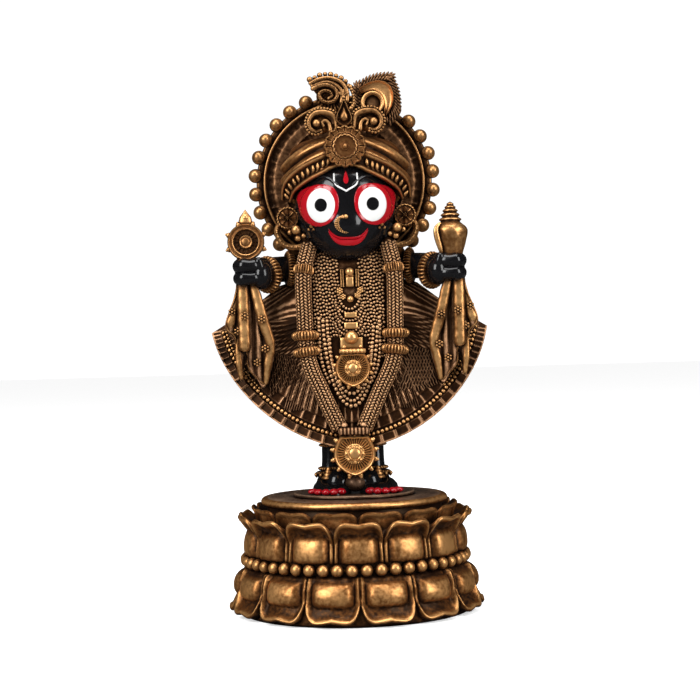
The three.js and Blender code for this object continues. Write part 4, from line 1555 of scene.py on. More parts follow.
    def string_hem(self, made: Carving) -> None:
        """Strings the two rows of beads inside the hem's border.

        Args:
            made: The carving it goes into.
        """
        limit = math.radians(self.spread)
        for inward, count, radius, start in self.hem_rows:
            h = (np.arange(count) + 0.5) / count * 2 - 1
            h = h[np.abs(h) > start]
            low = np.clip(np.cos(h * math.pi / 2), 0, 1) ** 0.8
            r = self.radius - inward - np.where(h < 0, *self.flat) * np.sin(math.pi * np.abs(h))
            y = self.forward(r / self.radius, low) + 0.3 + 0.25 * low
            places = xyz(r * np.sin(h * limit), y, self.centre_z - r * np.cos(h * limit))
            made.stones(places, radius, detail=1)


@dataclass(frozen=True)
class Chest:
    """The trunk and all that lies on it between the two ropes."""

    z: float = 60.0
    half_width: float = 17.5
    front: float = 12.8
    back: float = 10.5
    half_height: float = 25.0
    fullness: float = 0.55
    bib: Line = ((24, 2.0), (30, 6.5), (46, 12.5), (52, 13.0), (62, 12.0))
    row_pitch: float = 1.18
    wave: float = 0.26
    wave_pace: float = 2.15
    grain: Spot = (0.5, 0.42)
    bead_step: float = 1.0
    middle: float = 0.55
    strands: Table = (
        (8.9, 58.0, 29.9, 0.72),
        (7.6, 58.0, 31.6, 0.62),
        (7.0, 52.0, 34.0, 0.66),
        (3.5, 66.5, 61.7, 0.45),
        (4.6, 64.0, 60.4, 0.42),
        (3.6, 61.0, 57.9, 0.45),
        (4.6, 60.4, 56.7, 0.42),
        (3.7, 57.6, 54.4, 0.45),
        (4.8, 57.0, 53.2, 0.42),
    )
    bulbs: Table = ((74.0, 1.4, 1.5), (52.4, 2.2, 2.6))
    plaques: Table = (
        (70.7, 1.35, 1.75), (59.8, 2.25, 0.92), (56.3, 2.4, 1.15), (50.6, 4.0, 2.0), (48.0, 4.4, 0.8),
    )
    rosettes: Table = ((-2.8, 67.8, 1.1), (3.9, 67.8, 1.1), (-1.8, 65.8, 1.0), (2.9, 66.2, 1.0))

    def surface(self, x: Array, z: Array) -> Array:
        """How far forward the chest stands at a place on it.

        Args:
            x: The places across.
            z: The places up.

        Returns:
            The depth at each.
        """
        e = np.clip((np.asarray(z, float) - self.z) / self.half_height, -0.999, 0.999)
        full = np.sqrt(1 - e**2) ** self.fullness
        s = np.clip(np.abs(x) / (self.half_width * full), 0, 0.999) ** (1 / self.fullness)
        deep = self.front * full * np.sqrt(1 - s**2) ** self.fullness
        return np.where(np.asarray(z) < 52, np.maximum(deep, 12.2), deep)

    def build(self) -> None:
        """Builds and dresses the chest."""
        place = figure_place()
        place.carve("trunk", Finish.UMBER, self.carve_trunk)
        place.carve("chest_bead_rows", Finish.BEADWORK, self.weave_rows)
        place.carve("necklaces", Finish.BEADWORK, self.string_necklaces)
        place.carve("throat_jewel", Finish.POLISHED, self.carve_jewel)

    def carve_trunk(self, made: Carving) -> None:
        """Carves the trunk and the bib under the garlands.

        Args:
            made: The carving it goes into.
        """
        a = angles(96)
        e = np.linspace(-math.pi / 2, math.pi / 2, 40)[:, None]
        full = np.cos(e) ** self.fullness
        depth = np.where(np.cos(a) > 0, self.front, self.back)
        x = self.half_width * full * np.sign(np.sin(a)) * np.abs(np.sin(a)) ** self.fullness
        y = depth * full * np.sign(np.cos(a)) * np.abs(np.cos(a)) ** self.fullness
        y = y * (1 + 0.012 * np.cos(a * 40) * (np.cos(a) < 0)) - 0.35 * (np.cos(a) > 0)
        z = self.z + self.half_height * np.sin(e) * np.ones_like(a)
        made.shell(xyz(x, y, z), 0.4)
        level = np.linspace(24.0, 62.0, 40)
        wide = follow(level, self.bib)
        around = np.linspace(-1, 1, 25)
        bx = wide[:, None] * around
        by = 12.1 - 1.2 * np.abs(around) ** 4 + 0 * bx
        by = by - ease(55.0, 62.0, level)[:, None] * 1.4
        made.sheet(xyz(bx, by, level[:, None]), 0.15, away=(0, 0, 45))

    def weave_rows(self, made: Carving) -> None:
        """Weaves the wavy rows of small beads across the chest.

        Args:
            made: The carving it goes into.
        """
        places, axes = [], []
        for k, level in enumerate(np.arange(46.0, 82.5, self.row_pitch)):
            inner = 3.1 if level < 71 else 3.5
            outer = 11.9 if level < 76 else 11.9 + (level - 76) * 0.2
            if level < 53:
                inner = 6.4
            for side in SIDES:
                x = side * np.arange(inner + 0.3 * (k % 2), outer, self.bead_step)
                phase = x * self.wave_pace + 0.9 * k
                wave = self.wave * np.sin(phase)
                slope = self.wave * self.wave_pace * np.cos(phase)
                z = level + wave + 0.016 * (np.abs(x) - 7) ** 2
                y = self.surface(x, z) + 0.1
                places.append(xyz(x, y, z))
                tilt = np.arctan(slope)
                long = xyz(np.cos(tilt), 0, np.sin(tilt)) * self.grain[0]
                wide = xyz(-np.sin(tilt), 0, np.cos(tilt)) * self.grain[1]
                deep = xyz(0 * x, self.grain[1], 0)
                axes.append(np.stack([long, deep, wide], 1))
        made.stones(np.vstack(places), 1.0, axes=np.vstack(axes))

    def hang(self, half: float, top: float, bottom: float, pitch: float, middle: float = 0.3) -> Array:
        """Places evenly along a strand that hangs in a U.

        Args:
            half: Its half width.
            top: The height of its ends.
            bottom: The height of its lowest point.
            pitch: How far apart the places are.
            middle: Where its lowest point is across.

        Returns:
            The places on the chest.
        """
        s = np.linspace(-math.pi / 2, math.pi / 2, 200)
        x, z = middle + half * np.sin(s), mix(top, bottom, np.cos(s) ** 1.1)
        flat = xyz(x, 0, z)
        stops = along(flat[::8], max(5, int(length_of(flat) / pitch)))
        stops[:, 1] = self.surface(stops[:, 0], stops[:, 2]) + 0.55
        return stops

    def string_necklaces(self, made: Carving) -> None:
        """Strings the necklaces that hang in a U.

        Args:
            made: The carving it goes into.
        """
        for half, top, bottom, radius in self.strands:
            made.stones(self.hang(half, top, bottom, radius * 2.1), radius)
        for side in SIDES:
            z = np.arange(38.0, 60.0, 1.3)
            x = side * (9.9 - 0.02 * (z - 50) ** 2 * (z < 50))
            made.stones(xyz(x, self.surface(x, z) + 0.5, z), 0.62)

    def carve_jewel(self, made: Carving) -> None:
        """Carves the bulbs, the rosettes, the blocks and the bar down the middle.

        Args:
            made: The carving it goes into.
        """
        for z, radius, cup in self.bulbs:
            made.bead((self.middle, self.surface(0, z) + 0.8, z), radius)
            made.bead((self.middle, self.surface(0, z), z - radius), (cup, 0.9, radius * 0.62))
        for z, half, tall in self.plaques:
            self.plaque(made, z, half, tall)
        for side in SIDES:
            for out in (2.15, 2.85):
                z = np.linspace(69.3, 74.6, 12)
                x = self.middle + side * out + 0 * z
                axes = np.broadcast_to(np.diag([0.26, 0.5, 0.3]), (len(z), 3, 3))
                made.stones(xyz(x, self.surface(x, z) + 0.5, z), 1.0, axes=axes)
        for x, z, radius in self.rosettes:
            self.rosette(made, x, z, radius)
        made.bead((self.middle, self.surface(0, 65) + 1.0, 65.0), 1.05)

    def rosette(self, made: Carving, x: float, z: float, radius: float) -> None:
        """Adds a small rosette of beads.

        Args:
            made: The carving it goes into.
            x: Its middle across.
            z: Its middle up.
            radius: Its outer radius.
        """
        a = angles(6)
        out = radius * 0.66
        px, pz = x + out * np.sin(a), z + out * np.cos(a)
        made.stones(xyz(px, self.surface(px, pz) + 0.85, pz), radius * 0.36)
        made.bead((x, self.surface(x, z) + 1.05, z), radius * 0.38, detail=1)

    def plaque(self, made: Carving, z: float, half: float, tall: float) -> None:
        """Adds a small pillow-shaped plaque.

        Args:
            made: The carving it goes into.
            z: The height of its middle.
            half: Its half width.
            tall: Its half height.
        """
        s = np.linspace(-1, 1, 17)
        x, up = np.meshgrid(s, s)
        round_x = np.sign(x) * np.abs(x) ** 0.9
        y = self.surface(0, z) + 0.9 * ((1 - x**6) * (1 - up**6)) ** 0.5 + 0.35
        y = np.where(np.maximum(np.abs(x), np.abs(up)) > 0.99, self.surface(0, z) - 1.5, y)
        points = xyz(self.middle + half * round_x, y, z + tall * up)
        made.sheet(points, np.clip(0.2 + 0.7 * (y - y.min()) / 3.3, 0, 1), away=(self.middle, 0, z))


@dataclass(frozen=True)
class Rope:
    """One of the two thick garlands, packed with beads in a herringbone, with ribbed collars."""

    side: float
    x: float = 14.6
    y: float = 12.4
    radius: float = 2.35
    shift: float = 0.0
    top: float = 83.0
    turn: float = 46.0
    foot: Spot = (4.4, 23.4)
    pitch: float = 1.02
    strings: int = 12
    grain: Point = (0.76, 0.4, 0.46)
    grain_lean: float = 0.75
    collar: float = 4.65
    collars: tuple[float, ...] = (74.9, 53.4, 48.1)

    def route(self, steps: int) -> Array:
        """The garland's middle line.

        Args:
            steps: How many places to give.

        Returns:
            The places from its top to its foot.
        """
        s, x = self.side, self.side * self.x + self.shift
        points = [
            (x - s * 2 + self.shift * 0.5, self.y - 3, self.top),
            (x, self.y, self.top - 9),
            (x, self.y, mix(self.top, self.turn, 0.6)),
            (x - s * 0.8, self.y + 0.6, self.turn),
            (s * mix(self.x, self.foot[0], 0.5), self.y + 1.1, mix(self.turn, self.foot[1], 0.5)),
            (s * self.foot[0], self.y + 1.6, self.foot[1]),
        ]
        return along(points, steps)

    def build(self) -> None:
        """Builds and dresses the garland."""
        place = figure_place()
        name = side_name(self.side)
        place.carve("garland_" + name, Finish.BEADWORK, self.pack)
        place.carve("collars_" + name, Finish.GILT, self.turn_collars)

    def pack(self, made: Carving) -> None:
        """Packs the beads round the garland's core.

        Args:
            made: The carving it goes into.
        """
        made.tube(self.route(60), self.radius - 0.15, sides=20, rub_and_highlight=0.0)
        rows = int(length_of(self.route(200)) / self.pitch)
        route = self.route(rows)
        ahead, across, over = frames(route)
        places, axes, outs = [], [], []
        for k in range(self.strings):
            a = (k + 0.5) / self.strings * TURN
            if math.sin(a) < -0.45:
                continue
            out = across * math.cos(a) + over * math.sin(a)
            beside = over * math.cos(a) - across * math.sin(a)
            shift = ahead * (0.5 * self.pitch if k % 2 else 0.0)
            lean = self.grain_lean if k % 2 else -self.grain_lean
            long = (ahead * math.cos(lean) + beside * math.sin(lean)) * self.grain[0]
            wide = (beside * math.cos(lean) - ahead * math.sin(lean)) * self.grain[1]
            places.append(route + out * self.radius + shift)
            axes.append(np.stack([long, wide, out * self.grain[2]], 1))
            outs.append(out)
        made.stones(np.vstack(places), 1.0, out=np.vstack(outs), axes=np.vstack(axes), low=0.0)

    def turn_collars(self, made: Carving) -> None:
        """Turns the three ribbed collars.

        Args:
            made: The carving it goes into.
        """
        route = self.route(200)
        ahead, across, over = frames(route)
        for level in self.collars:
            k = int(np.abs(route[:, 2] - level).argmin())
            reach = self.collar * (0.74 if level > self.turn + 20 else 0.98)
            ribbed_ring(made, route[k], (ahead[k], across[k], over[k]), reach, 1.7, 24, 2.0, 0.5)


def ribbed_ring(
    made: Carving,
    centre: Array,
    axes: tuple[Array, Array, Array],
    radius: float,
    half: float,
    ribs: int,
    bore: float,
    depth: float = 0.3,
) -> None:
    """Adds a ribbed ring with rounded sides.

    Args:
        made: The carving it goes into.
        centre: Its middle.
        axes: The directions along its axis, across it and over it.
        radius: Its outer radius.
        half: Half its length.
        ribs: How many ribs go round.
        bore: The radius of its inner side.
        depth: How deep the grooves are between its ribs.
    """
    ahead, across, over = axes
    a = angles(ribs * 6)
    s = np.linspace(-1, 1, 11)[:, None]
    swell = np.clip(1 - np.abs(s) ** 2.4, 0, 1) ** 0.5
    rib = 0.5 + 0.5 * np.cos(a * ribs)
    lip = crest(np.abs(s) - 0.86, 0.1)
    r = bore + (radius - bore) * swell - depth * (1 - rib) * swell * (1 - lip) + 0.12 * lip
    sweep = across * np.cos(a)[None, :, None] + over * np.sin(a)[None, :, None]
    points = centre + r[..., None] * sweep + (s * half)[..., None] * ahead
    lift = np.clip(swell * (0.25 + 0.7 * rib) + 0.5 * lip, 0, 1)
    made.sheet(points, lift, around=True, away=tuple(centre))


@dataclass(frozen=True)
class Pendant:
    """A fluted shield that hangs under a bar, with beads round its rim."""

    name: str
    z: float
    y: float
    half_width: float
    bar_z: float
    bar_half: float
    bar_tall: float
    knot: float
    x: float
    bar_finish: Finish
    rim_beads: Table = ((0.03, 0.115), (0.13, 0.07))
    flutes: int = 36
    petals: int = 8
    outline: Line = (
        (0.0, 0.8), (0.42, 0.81), (0.67, 0.83), (0.76, 0.7), (0.88, 0.45), (0.97, 0.2), (1.0, 0.0),
        (0.98, -0.25), (0.86, -0.52), (0.62, -0.78), (0.32, -0.98), (0.0, -1.1),
    )
    bead_turns: tuple[float, ...] = (54.0, 80.0, 106.0, 134.0, 166.0)

    def reach(self, a: Array) -> Array:
        """The shield's edge.

        Args:
            a: The angles from straight up.

        Returns:
            Its radius at each.
        """
        across, up = np.asarray(self.outline).T
        turn = np.abs(np.angle(np.exp(1j * np.asarray(a, float))))
        fine = np.linspace(0, math.pi, 60)
        edge = np.interp(fine, np.arctan2(across, up), np.hypot(across, up))
        return self.half_width * np.interp(turn, fine, edge)

    def form(self, s: Array, a: Array) -> Array:
        """The shield's height over its back.

        Args:
            s: The shares of the way out.
            a: The angles.

        Returns:
            The height at each.
        """
        r = s * self.reach(a) / self.half_width
        rim = 0.95 * crest(s - 0.91, 0.05)
        cone = 0.75 * (1 - ease(0.3, 0.85, s))
        flute = 0.32 * np.cos(a * self.flutes) * band(r, 0.48, 0.8, 0.04) * (s < 0.88)
        ring = 0.5 * crest(r - 0.31, 0.03)
        petal = 0.5 * crest(r - 0.42, 0.06) * crest(np.sin(a * self.petals / 2), 0.5)
        boss = 0.75 * dome(r, 0.28)
        return 2.3 + rim + cone + flute + ring + petal + boss - 0.5 * ease(0.95, 1.0, s)

    def build(self) -> None:
        """Builds and dresses the pendant."""
        place = figure_place()
        place.carve(self.name, Finish.POLISHED, self.shield)
        place.carve(self.name + "_bar", self.bar_finish, self.bar)

    def shield(self, made: Carving) -> None:
        """Adds the shield and the beads round its rim.

        Args:
            made: The carving it goes into.
        """
        made.disc((self.x, self.y, self.z), self.reach, self.form, 38, 216, 5.5, gain=1.7, span=3)
        a = np.radians([side * turn for side in SIDES for turn in self.bead_turns])
        for past, size in self.rim_beads:
            rim = self.reach(a) + past * self.half_width
            places = upright_ring((self.x, self.y + 1.6, self.z), rim, a)
            made.stones(places, self.half_width * size, detail=2)

    def bar(self, made: Carving) -> None:
        """Adds the grooved bar above the shield and the two knots on it.

        Args:
            made: The carving it goes into.
        """
        x = np.linspace(-1, 1, 97)
        a = angles(24)
        across, turn = np.meshgrid(x, a, indexing="ij")
        end = np.clip(1 - np.abs(across) ** 14, 0, 1) ** 0.5
        groove = 1 - 0.16 * (0.5 + 0.5 * np.cos(across * self.bar_half * 5.2)) * (np.abs(across) < 0.92)
        up = np.sign(np.sin(turn)) * np.abs(np.sin(turn)) ** 0.6 * self.bar_tall * end
        deep = np.sign(np.cos(turn)) * np.abs(np.cos(turn)) ** 0.6 * 1.7 * end * groove
        points = xyz(self.x + across * self.bar_half, self.y + 1.6 + deep, self.bar_z + up)
        made.shell(points, np.clip(0.55 + 0.3 * np.cos(turn) - 4 * (1 - groove), 0, 1))
        for side in SIDES:
            knot = (self.x + side * self.bar_half * 0.62, self.y + 1.2, self.bar_z + self.bar_tall + 0.5)
            made.bead(knot, self.knot, detail=2)


# The arms and what they hold.


@dataclass(frozen=True)
class Arm:
    """One arm: a black limb with an armlet, a bangle and a fist."""

    side: float
    z: float = 76.0
    fist: Point = (33.2, 12.0, 74.8)
    fist_size: Point = (4.3, 3.9, 4.7)
    palm: Point = (28.6, 12.2, 73.6)
    palm_size: Point = (3.6, 4.6, 4.7)
    fingers: Table = ((2.0, 2.6, 2.5), (-2.0, 2.4, 2.6))
    rings: Table = ((19.9, 6.3, 1.4, 36, 0.0), (27.0, 6.3, 1.8, 30, 1.4))
    radius: float = 4.3
    aside: float = 0.65
    out: float = 0.35

    def route(self, steps: int) -> Array:
        """The arm's middle line.

        Args:
            steps: How many places to give.

        Returns:
            The places from the shoulder to the fist.
        """
        s = self.side
        points = [(s * 13, 0, self.z), (s * 22, 2, self.z), (s * 27.5, 7.2, 75.4), (s * 33.0, 12.2, 75.0)]
        return along(points, steps)

    def build(self) -> None:
        """Builds and dresses the arm."""
        place = figure_place().moved(self.aside + self.side * self.out)
        name = side_name(self.side)
        place.carve("arm_" + name, Finish.BLACK, self.model_limb)
        place.carve("armlets_" + name, Finish.GILT, self.turn_rings)

    def model_limb(self, made: Carving) -> None:
        """Models the limb and the fist with its fingers.

        Args:
            made: The carving it goes into.
        """
        made.tube(self.route(30), self.radius, sides=28, up=(0, 0, 1))
        x, y, z = self.side * self.fist[0], self.fist[1], self.fist[2]
        made.bead((x, y - 0.2, z), self.fist_size)
        made.bead((self.side * self.palm[0], self.palm[1], self.palm[2]), self.palm_size)
        for k, (up, radius, reach) in enumerate(self.fingers):
            a = np.linspace(-1.35, 1.2 - 0.1 * k, 22)
            across = x - self.side * reach * np.sin(a)
            finger = xyz(across, y + 1.0 + (reach - 0.5) * np.cos(a), z + up - 0.25 * np.cos(a))
            swell = radius * (1 + 0.07 * np.cos((a + 0.4) * 4.4))
            made.tube(finger, swell, sides=18, up=(0, 0, 1))
        inner = x - self.side * 3.9
        joint = (inner - self.side * 0.6, y + 3.0, z + 0.6)
        thumb = along([(inner, y + 1.4, z - 2.2), joint, (inner, y + 3.4, z + 3.2)], 16)
        made.tube(thumb, 1.5, sides=16)

    def turn_rings(self, made: Carving) -> None:
        """Turns the armlet by the shoulder and the bangle by the wrist.

        Args:
            made: The carving it goes into.
        """
        route = self.route(200)
        ahead, across, over = frames(route, (0, 0, 1))
        for level, radius, half, ribs, drop in self.rings:
            k = int(np.abs(np.abs(route[:, 0]) - level).argmin())
            axes = (ahead[k], across[k], over[k])
            ribbed_ring(made, route[k] - (0, 0, drop), axes, radius, half, ribs, 4.0, 0.75)


@dataclass(frozen=True)
class Discus:
    """The wheel held up in the left fist of the picture, with a flame on top."""

    centre: Point = (-33.2, 12.0, 84.7)
    radius: float = 6.1
    knobs: int = 8
    spokes: int = 16
    flame_top: float = 95.5
    flame: Line = ((0, 1.7), (0.25, 2.35), (0.55, 1.9), (0.85, 0.55), (1, 0.0))
    flame_inset: Line = ((0, 0.3), (0.3, 1.0), (0.6, 0.85), (0.9, 0.2), (1, 0.0))
    studs: Table = ((-0.1, 0.95), (0.75, 0.45))

    def form(self, s: Array, a: Array) -> Array:
        """The wheel's height.

        Args:
            s: The shares of the way out.
            a: The angles.

        Returns:
            The height at each.
        """
        ring = 0.9 * band(s, 0.66, 0.97, 0.03) + 0.3 * crest(s - 0.71, 0.03) + 0.3 * crest(s - 0.92, 0.03)
        spoke = 0.4 * band(s, 0.38, 0.66, 0.03) * crest(np.sin(a * self.spokes / 2), 0.28)
        hub = 0.95 * band(s, -0.4, 0.36, 0.025) + 0.25 * crest(s - 0.3, 0.03)
        return 0.6 + ring + spoke + hub + 0.35 * dome(s, 0.22)

    def build(self) -> None:
        """Builds and dresses the discus."""
        figure_place().carve("discus", Finish.GILT, self.turn_wheel)

    def turn_wheel(self, made: Carving) -> None:
        """Turns the wheel, its knobs and its flame.

        Args:
            made: The carving it goes into.
        """
        x, y, z = self.centre
        made.disc(self.centre, lambda a: self.radius + 0 * a, self.form, 40, 144, 1.5, gain=1.2, span=3)
        a = angles(self.knobs, 0.5)
        for out, size in self.studs:
            made.stones(upright_ring(self.centre, self.radius + out, a), size, detail=2)
        s = np.linspace(0, 1, 26)[:, None]
        b = angles(24)
        half = follow(s, self.flame) * np.ones_like(b)
        up = mix(z + self.radius - 1.0, self.flame_top, s)
        px, py = x + half * np.sin(b), y + (0.42 * half + 0.25 * (s < 0.99)) * np.cos(b)
        made.shell(xyz(px, py, up), 0.35 + 0.5 * np.cos(b))
        inset = follow(s, self.flame_inset)
        up = mix(z + self.radius + 1.0, self.flame_top - 1.4, s)
        px, py = x + inset * np.sin(b), y + 0.75 + 0.55 * inset * np.cos(b)
        made.shell(xyz(px, py, up), 0.5 + 0.5 * np.cos(b))


@dataclass(frozen=True)
class Conch:
    """The conch held up in the other fist, with its spire and its flange."""

    x: float = 34.2
    y: float = 12.0
    bottom: float = 77.5
    top: float = 96.2
    radius: float = 5.5
    profile: Line = (
        (0.0, 0.0), (0.5, 0.005), (0.66, 0.06), (0.72, 0.14), (0.84, 0.26), (0.95, 0.37), (1.0, 0.46),
        (0.99, 0.51), (0.9, 0.56), (0.74, 0.6), (0.6, 0.635), (0.58, 0.65), (0.66, 0.67), (0.68, 0.685),
        (0.62, 0.7), (0.5, 0.72), (0.49, 0.735), (0.56, 0.75), (0.57, 0.765), (0.5, 0.785), (0.4, 0.8),
        (0.4, 0.815), (0.46, 0.83), (0.45, 0.845), (0.36, 0.865), (0.3, 0.875), (0.33, 0.89), (0.33, 0.905),
        (0.24, 0.925), (0.2, 0.935), (0.22, 0.95), (0.2, 0.965), (0.1, 0.985), (0.0, 1.0),
    )

    def build(self) -> None:
        """Builds and dresses the conch."""
        figure_place().carve("conch", Finish.CAST_CLOTH, self.turn_shell)

    def turn_shell(self, made: Carving) -> None:
        """Turns the shell and lays its flange.

        Args:
            made: The carving it goes into.
        """
        r, t = (np.asarray(v) for v in zip(*self.profile))
        fine = along(np.stack([r * self.radius, t * (self.top - self.bottom)], -1), 110)
        a = angles(56)
        radius = np.maximum(fine[:, :1], 0)
        rows = fine[:, 1:]
        swirl = 1 + 0.025 * np.cos(a - rows * 0.35) + 0.012 * np.cos(a * 9 + rows * 1.3) * (rows < 10.5)
        px = self.x + radius * swirl * np.sin(a)
        py = self.y + radius * swirl * np.cos(a)
        lift = stand_out(radius * np.ones_like(a), 4, 1.1, wrap=True)
        points = xyz(px, py, self.bottom + rows)
        points[0], points[-1] = points[0].mean(axis=0), points[-1].mean(axis=0)
        made.shell(points, lift)
        s = np.linspace(0, 1, 24)
        z = mix(self.bottom + 1.5, self.bottom + 11.4, s)
        swell = np.interp(z - self.bottom, rows[:, 0], radius[:, 0])
        lip = xyz(self.x - swell * 0.92, self.y + 1.6 + swell * 0.42, z)
        made.tube(lip, 0.85 * np.sin(s * math.pi * 0.9 + 0.2) ** 0.5 + 0.15, sides=14, flat=0.7)


@dataclass(frozen=True)
class Kerchief:
    """A cast kerchief that falls in folds from a fist, with small flowers on it."""

    side: float
    y: float = 11.6
    thickness: float = 1.6
    aside: float = 0.8
    out: float = 1.2
    centre: Spot = (32.5, 56.0)
    outline: Line = (
        (30.4, 74.0), (36.4, 74.0), (36.5, 68.0), (40.4, 57.2), (38.8, 54.5), (36.9, 51.4), (37.4, 48.2),
        (35.8, 39.1), (34.7, 39.6), (33.7, 47.5), (32.8, 43.0), (30.8, 40.2), (27.7, 37.0), (24.2, 50.8),
        (28.5, 66.0),
    )
    folds: tuple[Table, ...] = (
        (
            (34.0, 74.0, 1.5, 2.2), (34.2, 68.0, 1.75, 2.6), (34.1, 58.0, 1.8, 3.0), (34.0, 50.0, 1.85, 3.2),
            (34.0, 49.4, 1.5, 3.0),
        ),
        ((36.4, 53.0, 0.5, 1.0), (36.3, 50.0, 1.0, 1.5), (36.1, 45.0, 1.05, 1.8), (35.5, 39.8, 0.65, 1.6)),
        (
            (31.2, 74.0, 1.2, 2.0), (30.0, 68.0, 1.5, 2.4), (27.7, 58.5, 1.75, 2.8), (25.6, 51.0, 1.45, 2.6),
            (26.5, 45.0, 1.3, 2.4), (27.5, 38.2, 0.75, 1.8),
        ),
        (
            (36.0, 72.0, 0.3, 1.2), (36.7, 67.0, 0.35, 1.4), (40.0, 57.4, 0.4, 1.4), (37.4, 54.0, 0.4, 1.6),
            (36.9, 51.4, 0.4, 1.4),
        ),
        ((33.4, 48.8, 0.3, 1.4), (32.9, 43.4, 0.32, 1.4), (30.8, 40.5, 0.32, 1.4), (27.8, 37.5, 0.4, 1.4)),
        ((35.8, 71.0, 0.4, 0.8), (36.9, 64.0, 1.0, 1.0), (38.5, 58.0, 1.6, 1.2), (38.3, 56.0, 0.8, 1.0)),
    )
    flowers: tuple[Point, ...] = (
        (33.6, 3.9, 60.4), (28.2, 3.6, 59.1), (27.3, 3.0, 49.5), (30.1, 1.4, 45.0), (36.1, 2.4, 55.4),
        (37.9, 1.4, 61.8),
    )

    def build(self) -> None:
        """Builds and dresses the kerchief."""
        name = side_name(self.side)
        place = figure_place().moved(self.aside + self.side * self.out)
        place.carve("kerchief_ground_" + name, Finish.UMBER, self.spread_plate)
        place.carve("kerchief_" + name, Finish.CAST_CLOTH, self.lay_folds)
        place.carve("kerchief_flowers_" + name, Finish.BROWN_GILT, self.scatter_flowers)

    def spread_plate(self, made: Carving) -> None:
        """Spreads the cloth's ground, with shallow folds that run down from the fist.

        Args:
            made: The carving it goes into.
        """
        middle = (self.side * self.centre[0], self.centre[1])
        edge = [(self.side * x, z) for x, z in self.outline]

        def reach(a: Array) -> Array:
            """The cloth's outline."""
            return reach_of(edge, middle, a)

        def form(s: Array, a: Array) -> Array:
            """Shallow folds, and a hem along the outline."""
            fold = 0.5 * np.cos(s * reach(a) * np.sin(a) * 2.1) * (1 - s**4)
            return 1.1 + fold + 0.45 * crest(s - 0.97, 0.025) - 0.4 * ease(0.98, 1.0, s)

        made.disc((middle[0], self.y, middle[1]), reach, form, 32, 216, self.thickness, 0.9, 3)

    def lay_folds(self, made: Carving) -> None:
        """Lays the rounded folds on the ground, with painted highlights along their tops and down their outer
        sides.

        Args:
            made: The carving it goes into.
        """
        for fold in self.folds:
            x, z, half, proud = np.asarray(fold).T
            stops = np.stack([x, z], -1)
            far = np.concatenate([[0], np.cumsum(np.linalg.norm(np.diff(stops, axis=0), axis=1))])
            steps = max(16, int(far[-1] * 2))
            flat = along(stops, steps)
            share = np.linspace(0, 1, steps) * far[-1]
            wide, up = np.interp(share, far, half), np.interp(share, far, proud)
            ripple = 1 + 0.035 * np.cos(flat[:, 1] * 1.7)
            route = xyz(self.side * flat[:, 0], self.y + up * 0.75, flat[:, 1])
            turn = angles(20)
            # Painted highlights: shine is a narrow bright stripe along the top of each fold, and glint a
            # bright line down its outer side.
            glint = 0.3 * crest(np.cos(turn) - self.side * 0.75, 0.15)
            shine = 0.12 + 0.75 * np.clip(np.sin(turn), 0, 1) ** 3 + glint
            made.tube(route, wide * ripple * 1.06, sides=20, flat=0.5, rub_and_highlight=shine)

    def scatter_flowers(self, made: Carving) -> None:
        """Sets the small flowers on the folds.

        Args:
            made: The carving it goes into.
        """
        ring = angles(6)
        for x, proud, z in self.flowers:
            x = self.side * x
            made.stones(upright_ring((x, self.y + proud, z), 0.95, ring), 0.42, detail=2)
            made.bead((x, self.y + proud + 0.2, z), 0.45, detail=2)


# The head.


